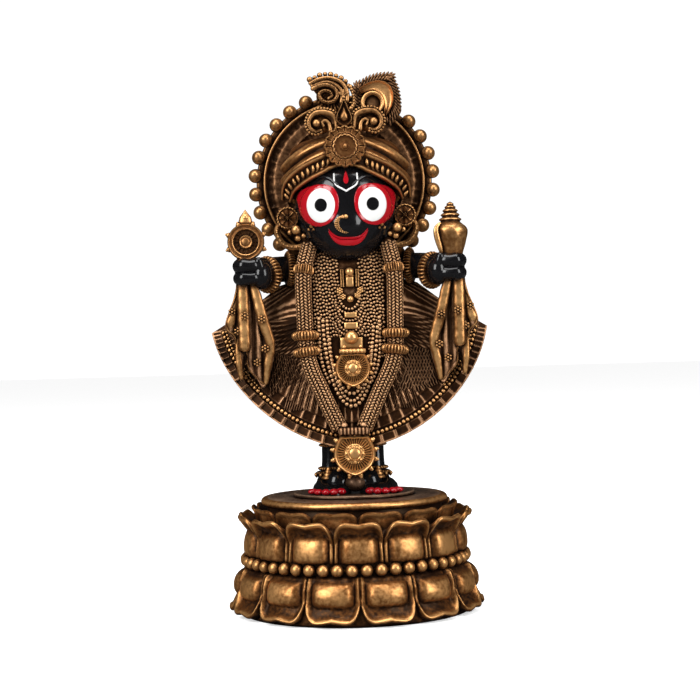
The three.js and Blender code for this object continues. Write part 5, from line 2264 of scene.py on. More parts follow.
@dataclass(frozen=True)
class Head:
    """The round black face with its large painted eyes, and the ear ornaments."""

    z: float = 94.5
    y: float = 4.0
    half_width: float = 17.3
    front: float = 16.0
    back: float = 8.0
    half_height: float = 16.7
    eye: Point = (8.25, 14.2, 95.4)
    eye_size: Point = (6.4, 5.2, 7.2)
    nose: Point = (0.2, 16.9, 89.3)
    nose_size: Point = (5.9, 3.8, 5.5)
    bridge: Point = (0.2, 16.6, 92.4)
    bridge_size: Point = (2.6, 3.0, 5.6)
    whites: Spot = (-8.15, 8.6)
    pupils: Spot = (-8.15, 8.7)
    eye_z: float = 95.45
    surround: Line = (
        (-180, 6.65), (-150, 6.3), (-119, 5.85), (-90, 5.85), (-60, 6.4), (-35, 7.1), (0, 6.95), (23, 7.3),
        (45, 8.35), (55, 9.0), (62, 9.2), (69, 8.7), (79, 7.8), (90, 7.4), (106, 7.2), (133, 7.0),
        (155, 6.94), (180, 6.65),
    )
    white_size: Spot = (4.65, 5.65)
    pupil_size: Spot = (2.05, 2.2)
    red_lift: float = 0.42
    white_lift: float = 0.6
    pupil_lift: float = 0.78
    brow: Line = ((2.6, 101.8), (5.5, 104.3), (10.0, 105.2), (15.2, 102.8))
    lips: Table = ((0.95, 0.34), (-0.42, 0.92))
    nose_ring: Line = ((-0.1, 91.4), (-1.9, 91.4), (-3.05, 90.0), (-2.9, 88.2), (-1.5, 86.7), (0.1, 86.2))
    nose_ring_width: Line = ((0, 0.8), (0.4, 0.75), (1, 0.3))
    cheek_pearls: Table = ((11.4, 89.2, 0.75), (12.3, 88.2, 0.55), (10.7, 88.1, 0.5))
    ear: Point = (19.4, 8.6, 92.5)
    drops: Table = ((16.6, 12.2, 88.2), (16.1, 11.6, 85.6), (18.7, 10.6, 87.6), (14.2, 12.6, 86.2))
    drop_sizes: tuple[float, ...] = (1.5, 1.05, 0.8, 0.75)
    hoop: Table = ((21.4, 5, 92), (23.2, 5, 88.4), (21.2, 5.4, 84.2), (16.6, 6, 82.9), (11, 7, 84.6))

    def skin(self, x: Array, z: Array) -> Array:
        """How far forward the face stands at a place on it.

        Args:
            x: The places across.
            z: The places up.

        Returns:
            The depth at each.
        """
        x, z = np.broadcast_arrays(np.asarray(x, float), np.asarray(z, float))
        e = np.clip((z - self.z) / self.half_height, -0.995, 0.995)
        level = np.sqrt(1 - e**2)
        wide = self.half_width * level**0.8 * (1 - 0.16 * np.clip(-e, 0, 1))
        deep = self.y + self.front * level**0.5 * dome(x, wide)
        forms = [deep]
        for cx, cy, cz, size in (
            (-self.eye[0], self.eye[1], self.eye[2], self.eye_size),
            (self.eye[0], self.eye[1], self.eye[2], self.eye_size),
            (*self.nose, self.nose_size),
            (*self.bridge, self.bridge_size),
        ):
            inside = 1 - ((x - cx) / size[0]) ** 2 - ((z - cz) / size[2]) ** 2
            forms.append(np.where(inside > 0, cy + size[1] * np.sqrt(np.clip(inside, 0, 1)), -9))
        stack = np.stack(forms)
        top = stack.max(axis=0)
        return np.minimum(top + 0.35 * np.log(np.exp((stack - top) / 0.35).sum(axis=0)), 20.75)

    def on_skin(self, flat: Array, proud: float) -> Array:
        """Places given across and up, stood on the face and so far out of it."""
        return stand(flat, self.skin(flat[:, 0], flat[:, 1]) + proud)

    def build(self) -> None:
        """Builds and dresses the head."""
        place = figure_place()
        place.carve("face", Finish.BLACK, self.model_face)
        place.carve("eye_surrounds_and_lips", Finish.RED, self.patch_red)
        place.carve("eye_whites_and_mark", Finish.WHITE, self.patch_white)
        place.carve("pupils", Finish.BLACK, self.patch_pupils)
        place.carve("nose_ring_and_pearls", Finish.GILT, self.set_pearls)
        place.carve("earrings", Finish.GILT, self.hang_earrings)

    def model_face(self, made: Carving) -> None:
        """Models the face and the ridges over its eyes.

        Args:
            made: The carving it goes into.
        """
        a = angles(160)
        e = np.linspace(-math.pi / 2, math.pi / 2, 104)[:, None]
        wide = np.cos(e) ** 0.8 * (1 - 0.16 * np.clip(-np.sin(e), 0, 1))
        deep = np.cos(e) ** 0.5 * np.where(np.cos(a) > 0, self.front, self.back)
        x = self.half_width * wide * np.sin(a)
        y = self.y + deep * np.cos(a)
        z = self.z + self.half_height * np.sin(e) + 0 * a
        facing = (np.cos(a) > 0.25) & (np.abs(np.sin(e)) < 0.97)
        y = np.where(facing, np.maximum(y, self.skin(x, z)), y)
        made.shell(xyz(x, y, z), 0.5)
        for side in SIDES:
            brow = along([(side * x, z) for x, z in self.brow], 30)
            made.tube(self.on_skin(brow, -0.1), 0.7, sides=12)

    def patch(self, made: Carving, centre: Spot, reach: Array, proud: float) -> None:
        """Lays a thin patch of paint on the face.

        Args:
            made: The carving it goes into.
            centre: Its middle across and up.
            reach: Its reach at each angle from straight up.
            proud: How far it stands out of the skin.
        """
        a = angles(len(reach))
        s = np.concatenate([np.linspace(0, 0.95, 22), [0.98, 1.0, 1.0]])[:, None]
        x = centre[0] + s * reach * np.sin(a)
        z = centre[1] + s * reach * np.cos(a)
        lift = np.concatenate([np.full(22, 1.0), [0.85, 0.45, -2.0]])[:, None] * proud
        near = ((0, 0), (0.45, 0), (-0.45, 0), (0, 0.45), (0, -0.45))
        y = np.max([self.skin(x + dx, z + dz) for dx, dz in near], axis=0) + lift
        points = xyz(x, y, z)
        points[0] = points[0].mean(axis=0)
        floor = points[-1].mean(axis=0) - (0, 2.5, 0)
        made.shell(np.concatenate([points, np.broadcast_to(floor, (1, len(a), 3))]), 0.8)

    def patch_red(self, made: Carving) -> None:
        """Paints the red round the eyes, the lips and the drop on the brow.

        Args:
            made: The carving it goes into.
        """
        a = angles(144)
        for side, middle in zip(SIDES, self.whites):
            outward = np.degrees(np.angle(np.exp(1j * a * side)))
            reach = follow(outward, self.surround)
            self.patch(made, (middle, self.eye_z), reach, self.red_lift)
        self.model_lips(made)
        top = (np.abs(np.sin(a) / 0.85) ** 1.3 + np.abs(np.cos(a) / 3.0) ** 1.3) ** (-1 / 1.3)
        foot = oval(a, 0.85, 1.3)
        self.patch(made, (0.2, 103.5), np.where(np.cos(a) > 0, top, foot), 0.5)

    def model_lips(self, made: Carving) -> None:
        """Models the smiling lips, with a line between them.

        Args:
            made: The carving they go into.
        """
        s = np.linspace(-1, 1, 81)[:, None]
        t = angles(24)
        x = 0.5 + s * 6.5 + 0 * t
        bow = 1 - np.abs(s) ** 3.2
        end = np.clip(1 - np.abs(s) ** 16, 0, 1) ** 0.5
        for above, thick in self.lips:
            half = mix(0.45 * min(thick, 0.7) + 0.15, thick, bow) * end
            z = 87.35 - 3.75 * bow + mix(0.5, 1.0, bow) * above + half * np.cos(t)
            y = np.minimum(self.skin(x, z) + 0.25 + 0.6 * half * np.sin(t), 20.9)
            points = xyz(x, y, z)
            points[0], points[-1] = points[0].mean(axis=0), points[-1].mean(axis=0)
            made.shell(points, 0.8)

    def patch_white(self, made: Carving) -> None:
        """Paints the whites of the eyes and the mark on the brow.

        Args:
            made: The carving it goes into.
        """
        a = angles(120)
        for side, middle in zip(SIDES, self.whites):
            self.patch(made, (middle, self.eye_z), oval(a, *self.white_size), self.white_lift)
            stroke = along([(0.1 + side * 3.75, 105.65), (0.2 + side * 3.47, 102.2), (0.2, 99.8)], 26)
            made.tube(self.on_skin(stroke, 0.3), 0.3, sides=10)

    def patch_pupils(self, made: Carving) -> None:
        """Paints the pupils.

        Args:
            made: The carving it goes into.
        """
        a = angles(72)
        for middle in self.pupils:
            self.patch(made, (middle, self.eye_z), oval(a, *self.pupil_size), self.pupil_lift)

    def set_pearls(self, made: Carving) -> None:
        """Sets the ring of the nose and the small pearls on the cheeks.

        Args:
            made: The carving it goes into.
        """
        ring = along(self.nose_ring, 30)
        route = self.on_skin(ring, 0.05)
        route[:, 1] = np.minimum(route[:, 1], 20.6)
        half = follow(np.linspace(0, 1, 30), self.nose_ring_width)
        made.tube(route, half * 0.55, sides=12, rub_and_highlight=0.0)
        for share in (-0.75, 0.0, 0.75):
            grains = route + xyz(share * half, half * 0.35, share * 0.4 * half)
            made.stones(grains[1::2] if share else grains[::2], half[::2] * 0.46, detail=1)
        made.stones(route[:1] + (0, 0.1, 0), 0.75, detail=2)
        for side in SIDES:
            for x, z, size in self.cheek_pearls:
                depth = float(self.skin(side * x, z))
                made.bead((side * x, depth + 0.1, z), size, detail=2)

    def hang_earrings(self, made: Carving) -> None:
        """Hangs the flower discs, the beads under them and the hoops.

        Args:
            made: The carving it goes into.
        """

        def flower(s: Array, a: Array) -> Array:
            """The disc's height: a rim round eight petals.

            Args:
                s: The shares of the way out.
                a: The angles.

            Returns:
                The height at each.
            """
            rim = 0.75 * crest(s - 0.9, 0.07) + 0.12 * np.cos(a * 22) * band(s, 0.82, 1.2, 0.03)
            petal = 0.7 * np.clip(1 - np.abs(np.sin(a * 4)) ** 0.8, 0, 1)
            petal = petal * np.sin(np.clip(s / 0.8, 0, 1) * math.pi) ** 0.7
            return 0.3 + rim + petal + 0.8 * dome(s, 0.2)

        def reach(a: Array) -> Array:
            """The disc's scalloped outline."""
            return 3.75 + 0.1 * np.cos(a * 22)

        for side in SIDES:
            ear = (side * self.ear[0], self.ear[1], self.ear[2])
            made.disc(ear, reach, flower, 26, 100, 8.0, 4.5, 2)
            made.stones(np.array(self.drops) * (side, 1, 1), self.drop_sizes, detail=2)
            hoop = along(self.hoop, 40) * (side, 1, 1)
            made.tube(hoop, 1.05, sides=14)
            made.tube(hoop + (0, 0.9, 0), 0.45, sides=8)
            made.stones(hoop[6:34:3] + (0, 1.1, 0), 0.5, detail=1)


# The turban, the crest and the halo.


@dataclass(frozen=True)
class Turban:
    """The wound turban with its beaded brow band and the rosette in front."""

    z: float = 106.5
    y: float = 2.0
    half_width: float = 21.2
    fullness: float = 0.5
    front: float = 15.2
    back: float = 8.4
    rise: float = 13.0
    roll_pitch: float = 4.7
    roll_bow: float = 0.019
    roll_start: float = 97.0
    middle: float = 0.2
    low: Line = (
        (-18.2, 97.6), (-16.7, 100.6), (-13.6, 102.7), (-10.3, 104.4), (-6.7, 106.0), (-4.1, 107.4),
        (0.2, 108.4),
    )
    high: Line = (
        (-21.4, 98.4), (-20.9, 103.2), (-18.5, 106.3), (-14.3, 109.2), (-8.6, 111.6), (-4.6, 112.9),
        (0.2, 113.6),
    )
    band_beads: int = 27
    rosette: Point = (0.2, 17.8, 114.4)
    rosette_radius: float = 6.35

    def build(self) -> None:
        """Builds and dresses the turban."""
        place = figure_place()
        place.carve("turban", Finish.GILT, self.wind)
        place.carve("brow_band", Finish.GILT, self.carve_band)
        place.carve("rosette", Finish.GILT, self.carve_rosette)

    def wind(self, made: Carving) -> None:
        """Winds the cloth, whose rolls rise from the temples to the rosette.

        Args:
            made: The carving it goes into.
        """
        a = angles(144)
        e = np.linspace(-math.pi / 2, math.pi / 2, 90)[:, None]
        depth = np.where(np.cos(a) > 0, self.front, self.back)
        behind = (1 - np.cos(a)) / 2
        drop = mix(1.5, 20.0, behind**1.2)
        rise = np.where(np.sin(e) > 0, self.rise, drop)
        x = self.half_width * np.cos(e) ** self.fullness * np.sin(a)
        y = self.y + depth * np.cos(e) ** self.fullness * np.cos(a)
        z = self.z + rise * np.sin(e)
        brim = follow(-np.abs(x), self.low) + 1.2
        z = np.where(np.cos(a) > 0, np.maximum(z, brim), z)
        phase = (z + self.roll_bow * x**2 - self.roll_start) / self.roll_pitch * math.pi
        roll = np.abs(np.sin(phase)) ** 0.8
        thread = 0.5 + 0.5 * np.sin(phase * 5.0 + 0.3 * np.abs(x))
        fade = np.cos(e) ** 0.4 * np.where(np.cos(a) > -0.2, 1.0, 0.6)
        swell = 1 + (0.125 * roll + 0.014 * thread * roll - 0.1) * fade
        lift = np.clip((0.55 * roll**2.2 + 0.4 * thread * roll) * fade, 0, 1)
        made.shell(xyz(x * swell, self.y + (y - self.y) * swell, z), lift)

    def mirrored(self, row: Sequence[Spot]) -> list[Spot]:
        """Half of the band's edge and its mirror image, as one line.

        Args:
            row: The places of one half, from the temple to the middle.

        Returns:
            The places from temple to temple.
        """
        return [*row, *[(2 * self.middle - x, z) for x, z in row[-2::-1]]]

    def carve_band(self, made: Carving) -> None:
        """Carves the brow band: two rims with slanted beads between them.

        Args:
            made: The carving it goes into.
        """
        low, high = (along(self.mirrored(row), 160) for row in (self.low, self.high))
        t = np.linspace(0, 1, 19)[None, :, None]
        flat = low[:, None] * (1 - t) + high[:, None] * t
        s = t[..., 0]
        mid = (low + high) / 2
        lean = np.clip(1 - (mid[:, 0] / 21.8) ** 2, 0, 1)
        depth = 2.2 + 15.4 * lean[:, None] ** 0.42 + 0.6 * (0.5 - s)
        relief = 0.95 * crest(s - 0.12, 0.09) + 0.95 * crest(s - 0.88, 0.09) - 0.3 * band(s, 0.25, 0.75, 0.05)
        face = stand(flat, depth + relief)
        lift = np.clip(0.2 + 0.75 * relief, 0, 1) * np.ones_like(depth)
        made.strip(face, face[..., 1] - 3.0, lift, 0.1)
        stops = np.linspace(5, 154, self.band_beads).astype(int)
        up = unit(high - low)
        places, axes = [], []
        for k in stops:
            if abs(mid[k, 0] - self.middle) < 5.4:
                continue
            side = 1 if mid[k, 0] > 0 else -1
            c, v = math.cos(0.5 * side), math.sin(0.5 * side)
            ax = np.array([up[k, 0] * c - up[k, 1] * v, 0, up[k, 0] * v + up[k, 1] * c])
            places.append((mid[k, 0], depth[k, 9] + 0.15, mid[k, 1]))
            axes.append(np.stack([ax * 1.35, (0, 0.8, 0), np.array([-ax[2], 0, ax[0]]) * 0.6]))
        made.stones(np.array(places), 1.0, axes=np.array(axes), detail=2, low=0.2)

    def carve_rosette(self, made: Carving) -> None:
        """Carves the scalloped rosette with its rings and its double stud.

        Args:
            made: The carving it goes into.
        """

        def form(s: Array, a: Array) -> Array:
            """The rosette's height.

            Args:
                s: The shares of the way out.
                a: The angles.

            Returns:
                The height at each.
            """
            groove = crest(np.sin(a * 8), 0.2)
            petal = (0.1 - 0.35 * groove) * band(s, 0.7, 1.3, 0.04) + 0.6 * crest(s - 0.93, 0.04)
            rope = 0.35 * crest(s - 0.66, 0.03) * (0.6 + 0.4 * np.cos(a * 50))
            ring = 0.55 * crest(s - 0.55, 0.03) - 0.25 * band(s, -1, 0.5, 0.03)
            stud = 0.5 * band(s, -1, 0.2, 0.02) + dome(s, 0.13)
            return 1.2 + petal + rope + ring + stud - 0.5 * ease(0.94, 1.0, s)

        def reach(a: Array) -> Array:
            """The rosette's scalloped outline."""
            return self.rosette_radius + 0.6 * np.abs(np.cos(a * 8)) ** 0.7

        made.disc(self.rosette, reach, form, 40, 240, 4.5, 1.3, 2)


@dataclass(frozen=True)
class Crest:
    """The teardrop over the rosette, with a beaded scroll on each side."""

    y: float = 12.0
    centre: Spot = (0.2, 125.0)
    leaf: Line = (
        (0.2, 131.2), (1.0, 129.6), (1.8, 127.5), (2.7, 125.4), (2.7, 123.2), (0.2, 121.6), (-2.3, 123.2),
        (-2.4, 125.4), (-1.4, 127.5), (-0.5, 129.6),
    )
    beads: Line = ((-9.0, 123.0), (9.95, 123.2))
    curl: Line = (
        (6.6, -1.6), (6.4, 1.1), (5.3, 2.8), (2.3, 3.7), (-0.75, 3.2), (-2.4, 0.8), (-2.0, -1.5),
        (-0.4, -2.7), (1.3, -2.3),
    )
    curl_width: Line = ((0, 0.75), (0.25, 1.05), (0.85, 0.9), (1, 0.6))
    inner_curl: Line = ((4.6, -2.4), (4.2, -0.2), (2.9, 0.9), (1.9, 0.2), (2.4, -0.9))
    tips: tuple[float, ...] = (-48.0, 0.0, 48.0)

    def build(self) -> None:
        """Builds and dresses the crest."""
        figure_place().carve("crest", Finish.BROWN_GILT, self.carve)

    def carve(self, made: Carving) -> None:
        """Carves the leaf and both scrolls.

        Args:
            made: The carving it goes into.
        """
        self.leaf_plate(made)
        for side, bead in zip(SIDES, self.beads):
            self.scroll(made, side, bead)

    def leaf_plate(self, made: Carving) -> None:
        """Adds the pointed leaf, the smaller leaf on it and the small tip of three leaves.

        Args:
            made: The carving it goes into.
        """
        x, z = self.centre

        def form(s: Array, a: Array) -> Array:
            """The leaf's height, the same all round: a rim round a smaller leaf."""
            rim = 0.7 * crest(s - 0.88, 0.07) - 0.5 * band(s, 0.55, 0.8, 0.04)
            return 0.9 + rim + 0.9 * dome(s, 0.5) - 0.4 * ease(0.96, 1.0, s)

        made.disc((x, self.y, z), lambda a: reach_of(self.leaf, self.centre, a), form, 40, 144, 3.0, 1.5, 3)
        for lean in self.tips:
            c, v = math.cos(math.radians(lean)), math.sin(math.radians(lean))
            out, beside = np.array([v, 0, c]), np.array([c, 0, -v])
            axes = np.array([np.stack([out * 1.35, beside * 0.55, (0, 0.6, 0)])])
            made.stones((np.array([x, self.y + 0.4, 131.6]) + out * 1.1)[None], 1.0, axes=axes, detail=3)
        made.bead((x, self.y + 0.7, 131.3), 0.65, detail=2)
        made.tube(xyz(x, self.y - 1.2, np.linspace(116, 123, 6)), 1.6, sides=12, rub_and_highlight=0.1)

    def scroll(self, made: Carving, side: float, bead: Spot) -> None:
        """Adds one scroll that curls round a bead, with fine grains along its outer edge.

        Args:
            made: The carving it goes into.
            side: -1 on the left and 1 on the right.
            bead: Where its bead is, across and up.
        """
        flat = along(self.curl, 90)
        flat = np.stack([bead[0] - side * flat[:, 0], bead[1] + flat[:, 1]], -1)
        route = stand(flat, self.y - 0.2)
        width = follow(np.linspace(0, 1, 90), self.curl_width)
        made.tube(route, width, sides=14, flat=1.2)
        ahead = unit(np.gradient(flat, axis=0))
        beyond = xyz(-ahead[:, 1], 0, ahead[:, 0]) * side
        edge = along(route + beyond * (width + 0.15)[:, None] + (0, 0.4, 0), 26)
        made.stones(edge, 0.52, detail=1)
        made.stones(along(route + beyond * (width * 0.2)[:, None] + (0, 0.95, 0), 40), 0.24, detail=1)
        made.bead((bead[0], self.y + 0.4, bead[1]), 1.35)
        inner = along(self.inner_curl, 30)
        inner = xyz(bead[0] - side * inner[:, 0], self.y + 0.1, bead[1] + inner[:, 1])
        made.tube(inner, np.linspace(0.75, 0.45, 30), sides=10)
        made.bead((bead[0] - side * 1.2, self.y - 2.4, bead[1]), (4.0, 2.2, 3.2), low=0.0)


@dataclass(frozen=True)
class Halo:
    """The round halo behind the head: a dish of petals inside a rim of domed beads."""

    x: float = -0.4
    z: float = 104.8
    y: float = -2.0
    radius: float = 28.9
    back: float = 2.4
    panels: int = 30
    beads: int = 30
    bead_radius: float = 2.42
    circle: float = 30.0
    rims: Table = ((26.75, 1.5, 0.42), (28.7, -0.5, 0.95))

    def form(self, s: Array, a: Array) -> Array:
        """The dish's height.

        Args:
            s: The shares of the way out.
            a: The angles.

        Returns:
            The height at each.
        """
        rim = 1.1 * crest(s - 0.925, 0.012) + 0.5 * ease(0.93, 0.97, s) - 0.5 * band(s, 0.84, 0.91, 0.012)
        lobe = np.abs(np.sin(a * self.panels / 2)) ** 0.55
        panel = 0.85 * lobe * band(s, 0.7, 0.825, 0.02)
        bulb = 0.5 * crest(s - 0.84, 0.022) * crest(np.cos(a * self.panels / 2), 0.5)
        spoke = 0.6 * crest(np.sin(a * self.panels / 2), 0.2) * band(s, 0.62, 0.9, 0.02)
        line = 0.4 * crest(s - 0.7, 0.012)
        return rim + panel + bulb + spoke + line

    def build(self) -> None:
        """Builds and dresses the halo."""
        place = figure_place()
        place.carve("halo_dish", Finish.SHADOW, self.carve_dish)
        place.carve("halo_rim", Finish.BROWN_GILT, self.turn_rims)
        place.carve("halo_beads", Finish.BROWN_GILT, self.set_beads)
        place.carve("halo_back", Finish.UMBER, self.carve_back)

    def carve_dish(self, made: Carving) -> None:
        """Carves the dish of petals.

        Args:
            made: The carving it goes into.
        """
        centre = (self.x, self.y, self.z)
        made.disc(centre, lambda a: self.radius + 0 * a, self.form, 58, 250, self.back, 0.7, 2)

    def turn_rims(self, made: Carving) -> None:
        """Turns the two thin rims.

        Args:
            made: The carving it goes into.
        """
        a = angles(200)
        for r, proud, size in self.rims:
            rim = upright_ring((self.x, self.y + proud, self.z), r, a)
            made.tube(rim, size, sides=12, closed=True)

    def set_beads(self, made: Carving) -> None:
        """Sets the domed beads, each with a smaller dome on it.

        Args:
            made: The carving it goes into.
        """
        a = angles(self.beads)
        out = upright_ring((0, 0, 0), 1.0, a)
        middle = out * self.circle + (self.x, self.y, self.z)
        made.stones(middle, self.bead_radius, detail=2)
        made.stones(middle + out * 0.2 + (0, 1.35, 0), self.bead_radius * 0.74, detail=2)

    def carve_back(self, made: Carving) -> None:
        """Carves the halo's plain back with two low rings.

        Args:
            made: The carving it goes into.
        """
        a = angles(160)
        s = np.linspace(0, 1, 28)[:, None]
        r = s * (self.radius - 1.5)
        deep = self.y - self.back - 0.05 - 0.3 * crest(s - 0.93, 0.03) - 0.22 * crest(s - 0.6, 0.02)
        deep = deep - 0.12 * np.abs(np.sin(a * 15)) * band(s, 0.66, 0.88, 0.03)
        face = xyz(self.x + r * np.sin(a), deep, self.z + r * np.cos(a))
        face[0] = face[0].mean(axis=0)
        cap = np.broadcast_to((self.x, self.y - 1.0, self.z), (1, 160, 3))
        lift = 0.35 + 0.5 * crest(s - 0.93, 0.03) + 0.4 * crest(s - 0.6, 0.02)
        made.shell(np.concatenate([face, cap]), np.concatenate([lift, [[0.1]]]) * np.ones_like(a))


@dataclass(frozen=True)
class Feathers:
    """The peacock feather on one side of the crest and the curled plume on the other."""

    y: float = 4.0
    plume_y: float = 4.6
    shift: float = 1.05
    edge: Line = (
        (2.0, 136.4), (4.9, 138.6), (7.6, 139.9), (11.1, 140.8), (15.9, 140.7), (17.0, 138.2), (18.1, 135.1),
        (18.7, 130.6), (18.3, 127.1), (16.1, 124.0), (12, 120), (5.6, 120.5), (3, 128),
    )
    barb_step: float = 1.25
    barb_rows: Table = ((1.45, 1.75, 1.0), (2.6, 1.4, 1.4))
    eye_rings: Table = ((3.4, 0.5, 2.9), (3.0, 0.4, 2.2))
    outer: Line = (
        (3.5, 133.2), (4.9, 135.5), (7.6, 137.0), (11.1, 137.6), (14.2, 136.3), (15.6, 133.8),
        (15.6, 130.6), (14.3, 127.4), (12.9, 125.6),
    )
    inner: Line = (
        (4.3, 133.1), (6.3, 133.9), (9.4, 134.2), (11.6, 132.4), (12.4, 129.9), (12.6, 127.5), (12.4, 125.8),
    )
    eye: Spot = (8.7, 130.2)
    plume: Line = (
        (0.9, 136.0), (-0.5, 138.2), (-3.5, 139.7), (-7.5, 140.0), (-11.8, 138.7), (-12.2, 137.4),
        (-10.9, 135.4), (-9.7, 133.6), (-9.8, 131.4), (-6.6, 129.3), (-4.0, 128.3), (0.5, 127.5),
    )
    ribs: tuple[Line, ...] = (
        ((-11.8, 137.6), (-8.6, 138.9), (-5.0, 139.1), (-1.4, 137.5), (0.3, 134.6), (0.4, 131.5)),
        ((-11.2, 136.6), (-6.7, 137.9), (-3.1, 136.6), (-1.3, 134.3), (-1.6, 131.0)),
    )
    spiral: Line = (
        (-11.0, 135.8), (-8.5, 136.8), (-5.8, 136.8), (-3.6, 135.5), (-2.9, 133.4), (-4.0, 131.6),
        (-6.3, 131.0), (-8.3, 132.1), (-8.9, 133.9), (-7.4, 135.0), (-5.4, 134.6), (-4.7, 133.2),
        (-5.9, 132.3),
    )
    plate_middle: Spot = (11.4, 129.8)
    plume_middle: Spot = (-4.6, 134.0)
    top: Line = (
        (-10.3, 139.5), (-8.5, 140.3), (-6.3, 140.55), (-4.0, 140.2), (-2.3, 139.5), (-0.3, 138.3),
        (0.9, 136.4),
    )
    top_sizes: tuple[float, ...] = (0.8, 0.95, 0.8, 0.95, 0.8, 0.95, 0.8, 0.9)
    tip: Line = ((-11.9, 138.6), (-11.6, 137.4), (-10.8, 136.4))
    fringe: Line = ((1.6, 136.0), (2.6, 133.6), (2.8, 130.5), (1.6, 128.8))

    def build(self) -> None:
        """Builds and dresses the feather and the plume."""
        place = figure_place().moved(self.shift)
        place.carve("feather_plate", Finish.SHADOW, self.cut_plate)
        place.carve("feather_barbs", Finish.SHADOW, self.carve_barbs)
        place.carve("feather_eye", Finish.BRIGHT_GILT, self.carve_eye)
        place.carve("plume", Finish.BROWN_GILT, self.carve_plume)

    def cut_plate(self, made: Carving) -> None:
        """Cuts the feather's plate, with the dark dish of its eye.

        Args:
            made: The carving it goes into.
        """

        def form(s: Array, a: Array) -> Array:
            """A plate that is lower towards its edge."""
            return 0.5 - 0.4 * ease(0.6, 1.0, s) + 0 * a

        def reach(a: Array) -> Array:
            """The plate's outline, inside the barbs' tips."""
            return reach_of(self.edge, self.plate_middle, a) * 0.92

        x, z = self.plate_middle
        made.disc((x, self.y, z), reach, form, 24, 200, 3.0, 0.1, 2)
        axes = np.diag([3.3, 0.9, 3.3])[None] * 0.98
        made.stones((self.eye[0], self.y + 0.9, self.eye[1]), 1.0, axes=axes, detail=3, low=0.0)

    def carve_barbs(self, made: Carving) -> None:
        """Carves the two rows of leaf-like barbs along the feather's edge.

        Args:
            made: The carving it goes into.
        """
        rim = along(self.edge, 600, closed=True)
        for inset, long, lift in self.barb_rows:
            count = int(length_of(rim) / self.barb_step)
            stops = along(self.edge, count, closed=True)
            ahead = unit(np.roll(stops, -1, axis=0) - np.roll(stops, 1, axis=0))
            out = np.stack([-ahead[:, 1], ahead[:, 0]], -1)
            lean = out * 0.72 + ahead * 0.7
            side = np.stack([-lean[:, 1], lean[:, 0]], -1)
            shown = stops[:, 1] > 123.0
            places = stand((stops - out * inset)[shown], self.y + lift)
            deep = np.broadcast_to((0, 0.75, 0), places.shape)
            axes = np.stack([stand(lean[shown], 0) * long, stand(side[shown], 0) * 0.46, deep], 1)
            made.stones(places, 1.0, axes=axes, detail=1)

    def carve_eye(self, made: Carving) -> None:
        """Carves the gold crescent and the ring round the feather's dark eye.

        Args:
            made: The carving it goes into.
        """
        outer, inner = along(self.outer, 70), along(self.inner, 70)
        t = np.linspace(0, 1, 17)[None, :, None]
        flat = outer[:, None] * (1 - t) + inner[:, None] * t
        s = t[..., 0]
        dish = 0.8 * crest(s - 0.07, 0.06) + 0.3 * crest(s - 0.94, 0.06) - 0.55 * np.sin(s * math.pi)
        face = stand(flat, self.y + 2.5 + dish)
        made.strip(face, self.y, 0.85 + 0.2 * dish + 0 * face[..., 1], 0.2)
        a = angles(72)
        for r, size, proud in self.eye_rings:
            centre = (self.eye[0], self.y + proud, self.eye[1])
            made.tube(upright_ring(centre, r, a), size, sides=12, closed=True)

    def carve_plume(self, made: Carving) -> None:
        """Carves the plume: its plate, its ribs, its curl and the beads on top.

        Args:
            made: The carving it goes into.
        """

        def form(s: Array, a: Array) -> Array:
            """Lines that fan out from the curl."""
            line = 0.5 + 0.5 * np.cos(a * 26 + s * 5)
            return 0.3 + 0.7 * line * ease(0.35, 0.7, s) - 0.5 * ease(0.92, 1.0, s)

        def reach(a: Array) -> Array:
            """The plume's outline."""
            return reach_of(self.plume, self.plume_middle, a)

        x, z = self.plume_middle
        made.disc((x, self.plume_y - 1.4, z), reach, form, 28, 180, 1.6, 0.9, 2)
        wide, narrow = self.ribs
        for points, low, high in ((self.spiral, 0.85, 0.5), (wide, 0.7, 0.8), (narrow, 0.6, 0.75)):
            flat = along(points, 90)
            route = stand(flat, self.plume_y + 0.1)
            made.tube(route, np.linspace(low, high, 90), sides=10)
            made.stones(route[4:-4:3] + (0, low * 0.9, 0), 0.26, detail=1)
        top = along(self.top, len(self.top_sizes))
        made.stones(stand(top, self.plume_y - 0.4), self.top_sizes, detail=2)
        made.bead((-12.0, self.plume_y - 0.2, 138.9), 1.0)
        made.tube(stand(along(self.tip, 12), self.plume_y), 0.6, sides=10)
        made.stones(stand(along(self.fringe, 9), self.plume_y), 0.85, detail=2, low=0.0)


# The legs and the feet.


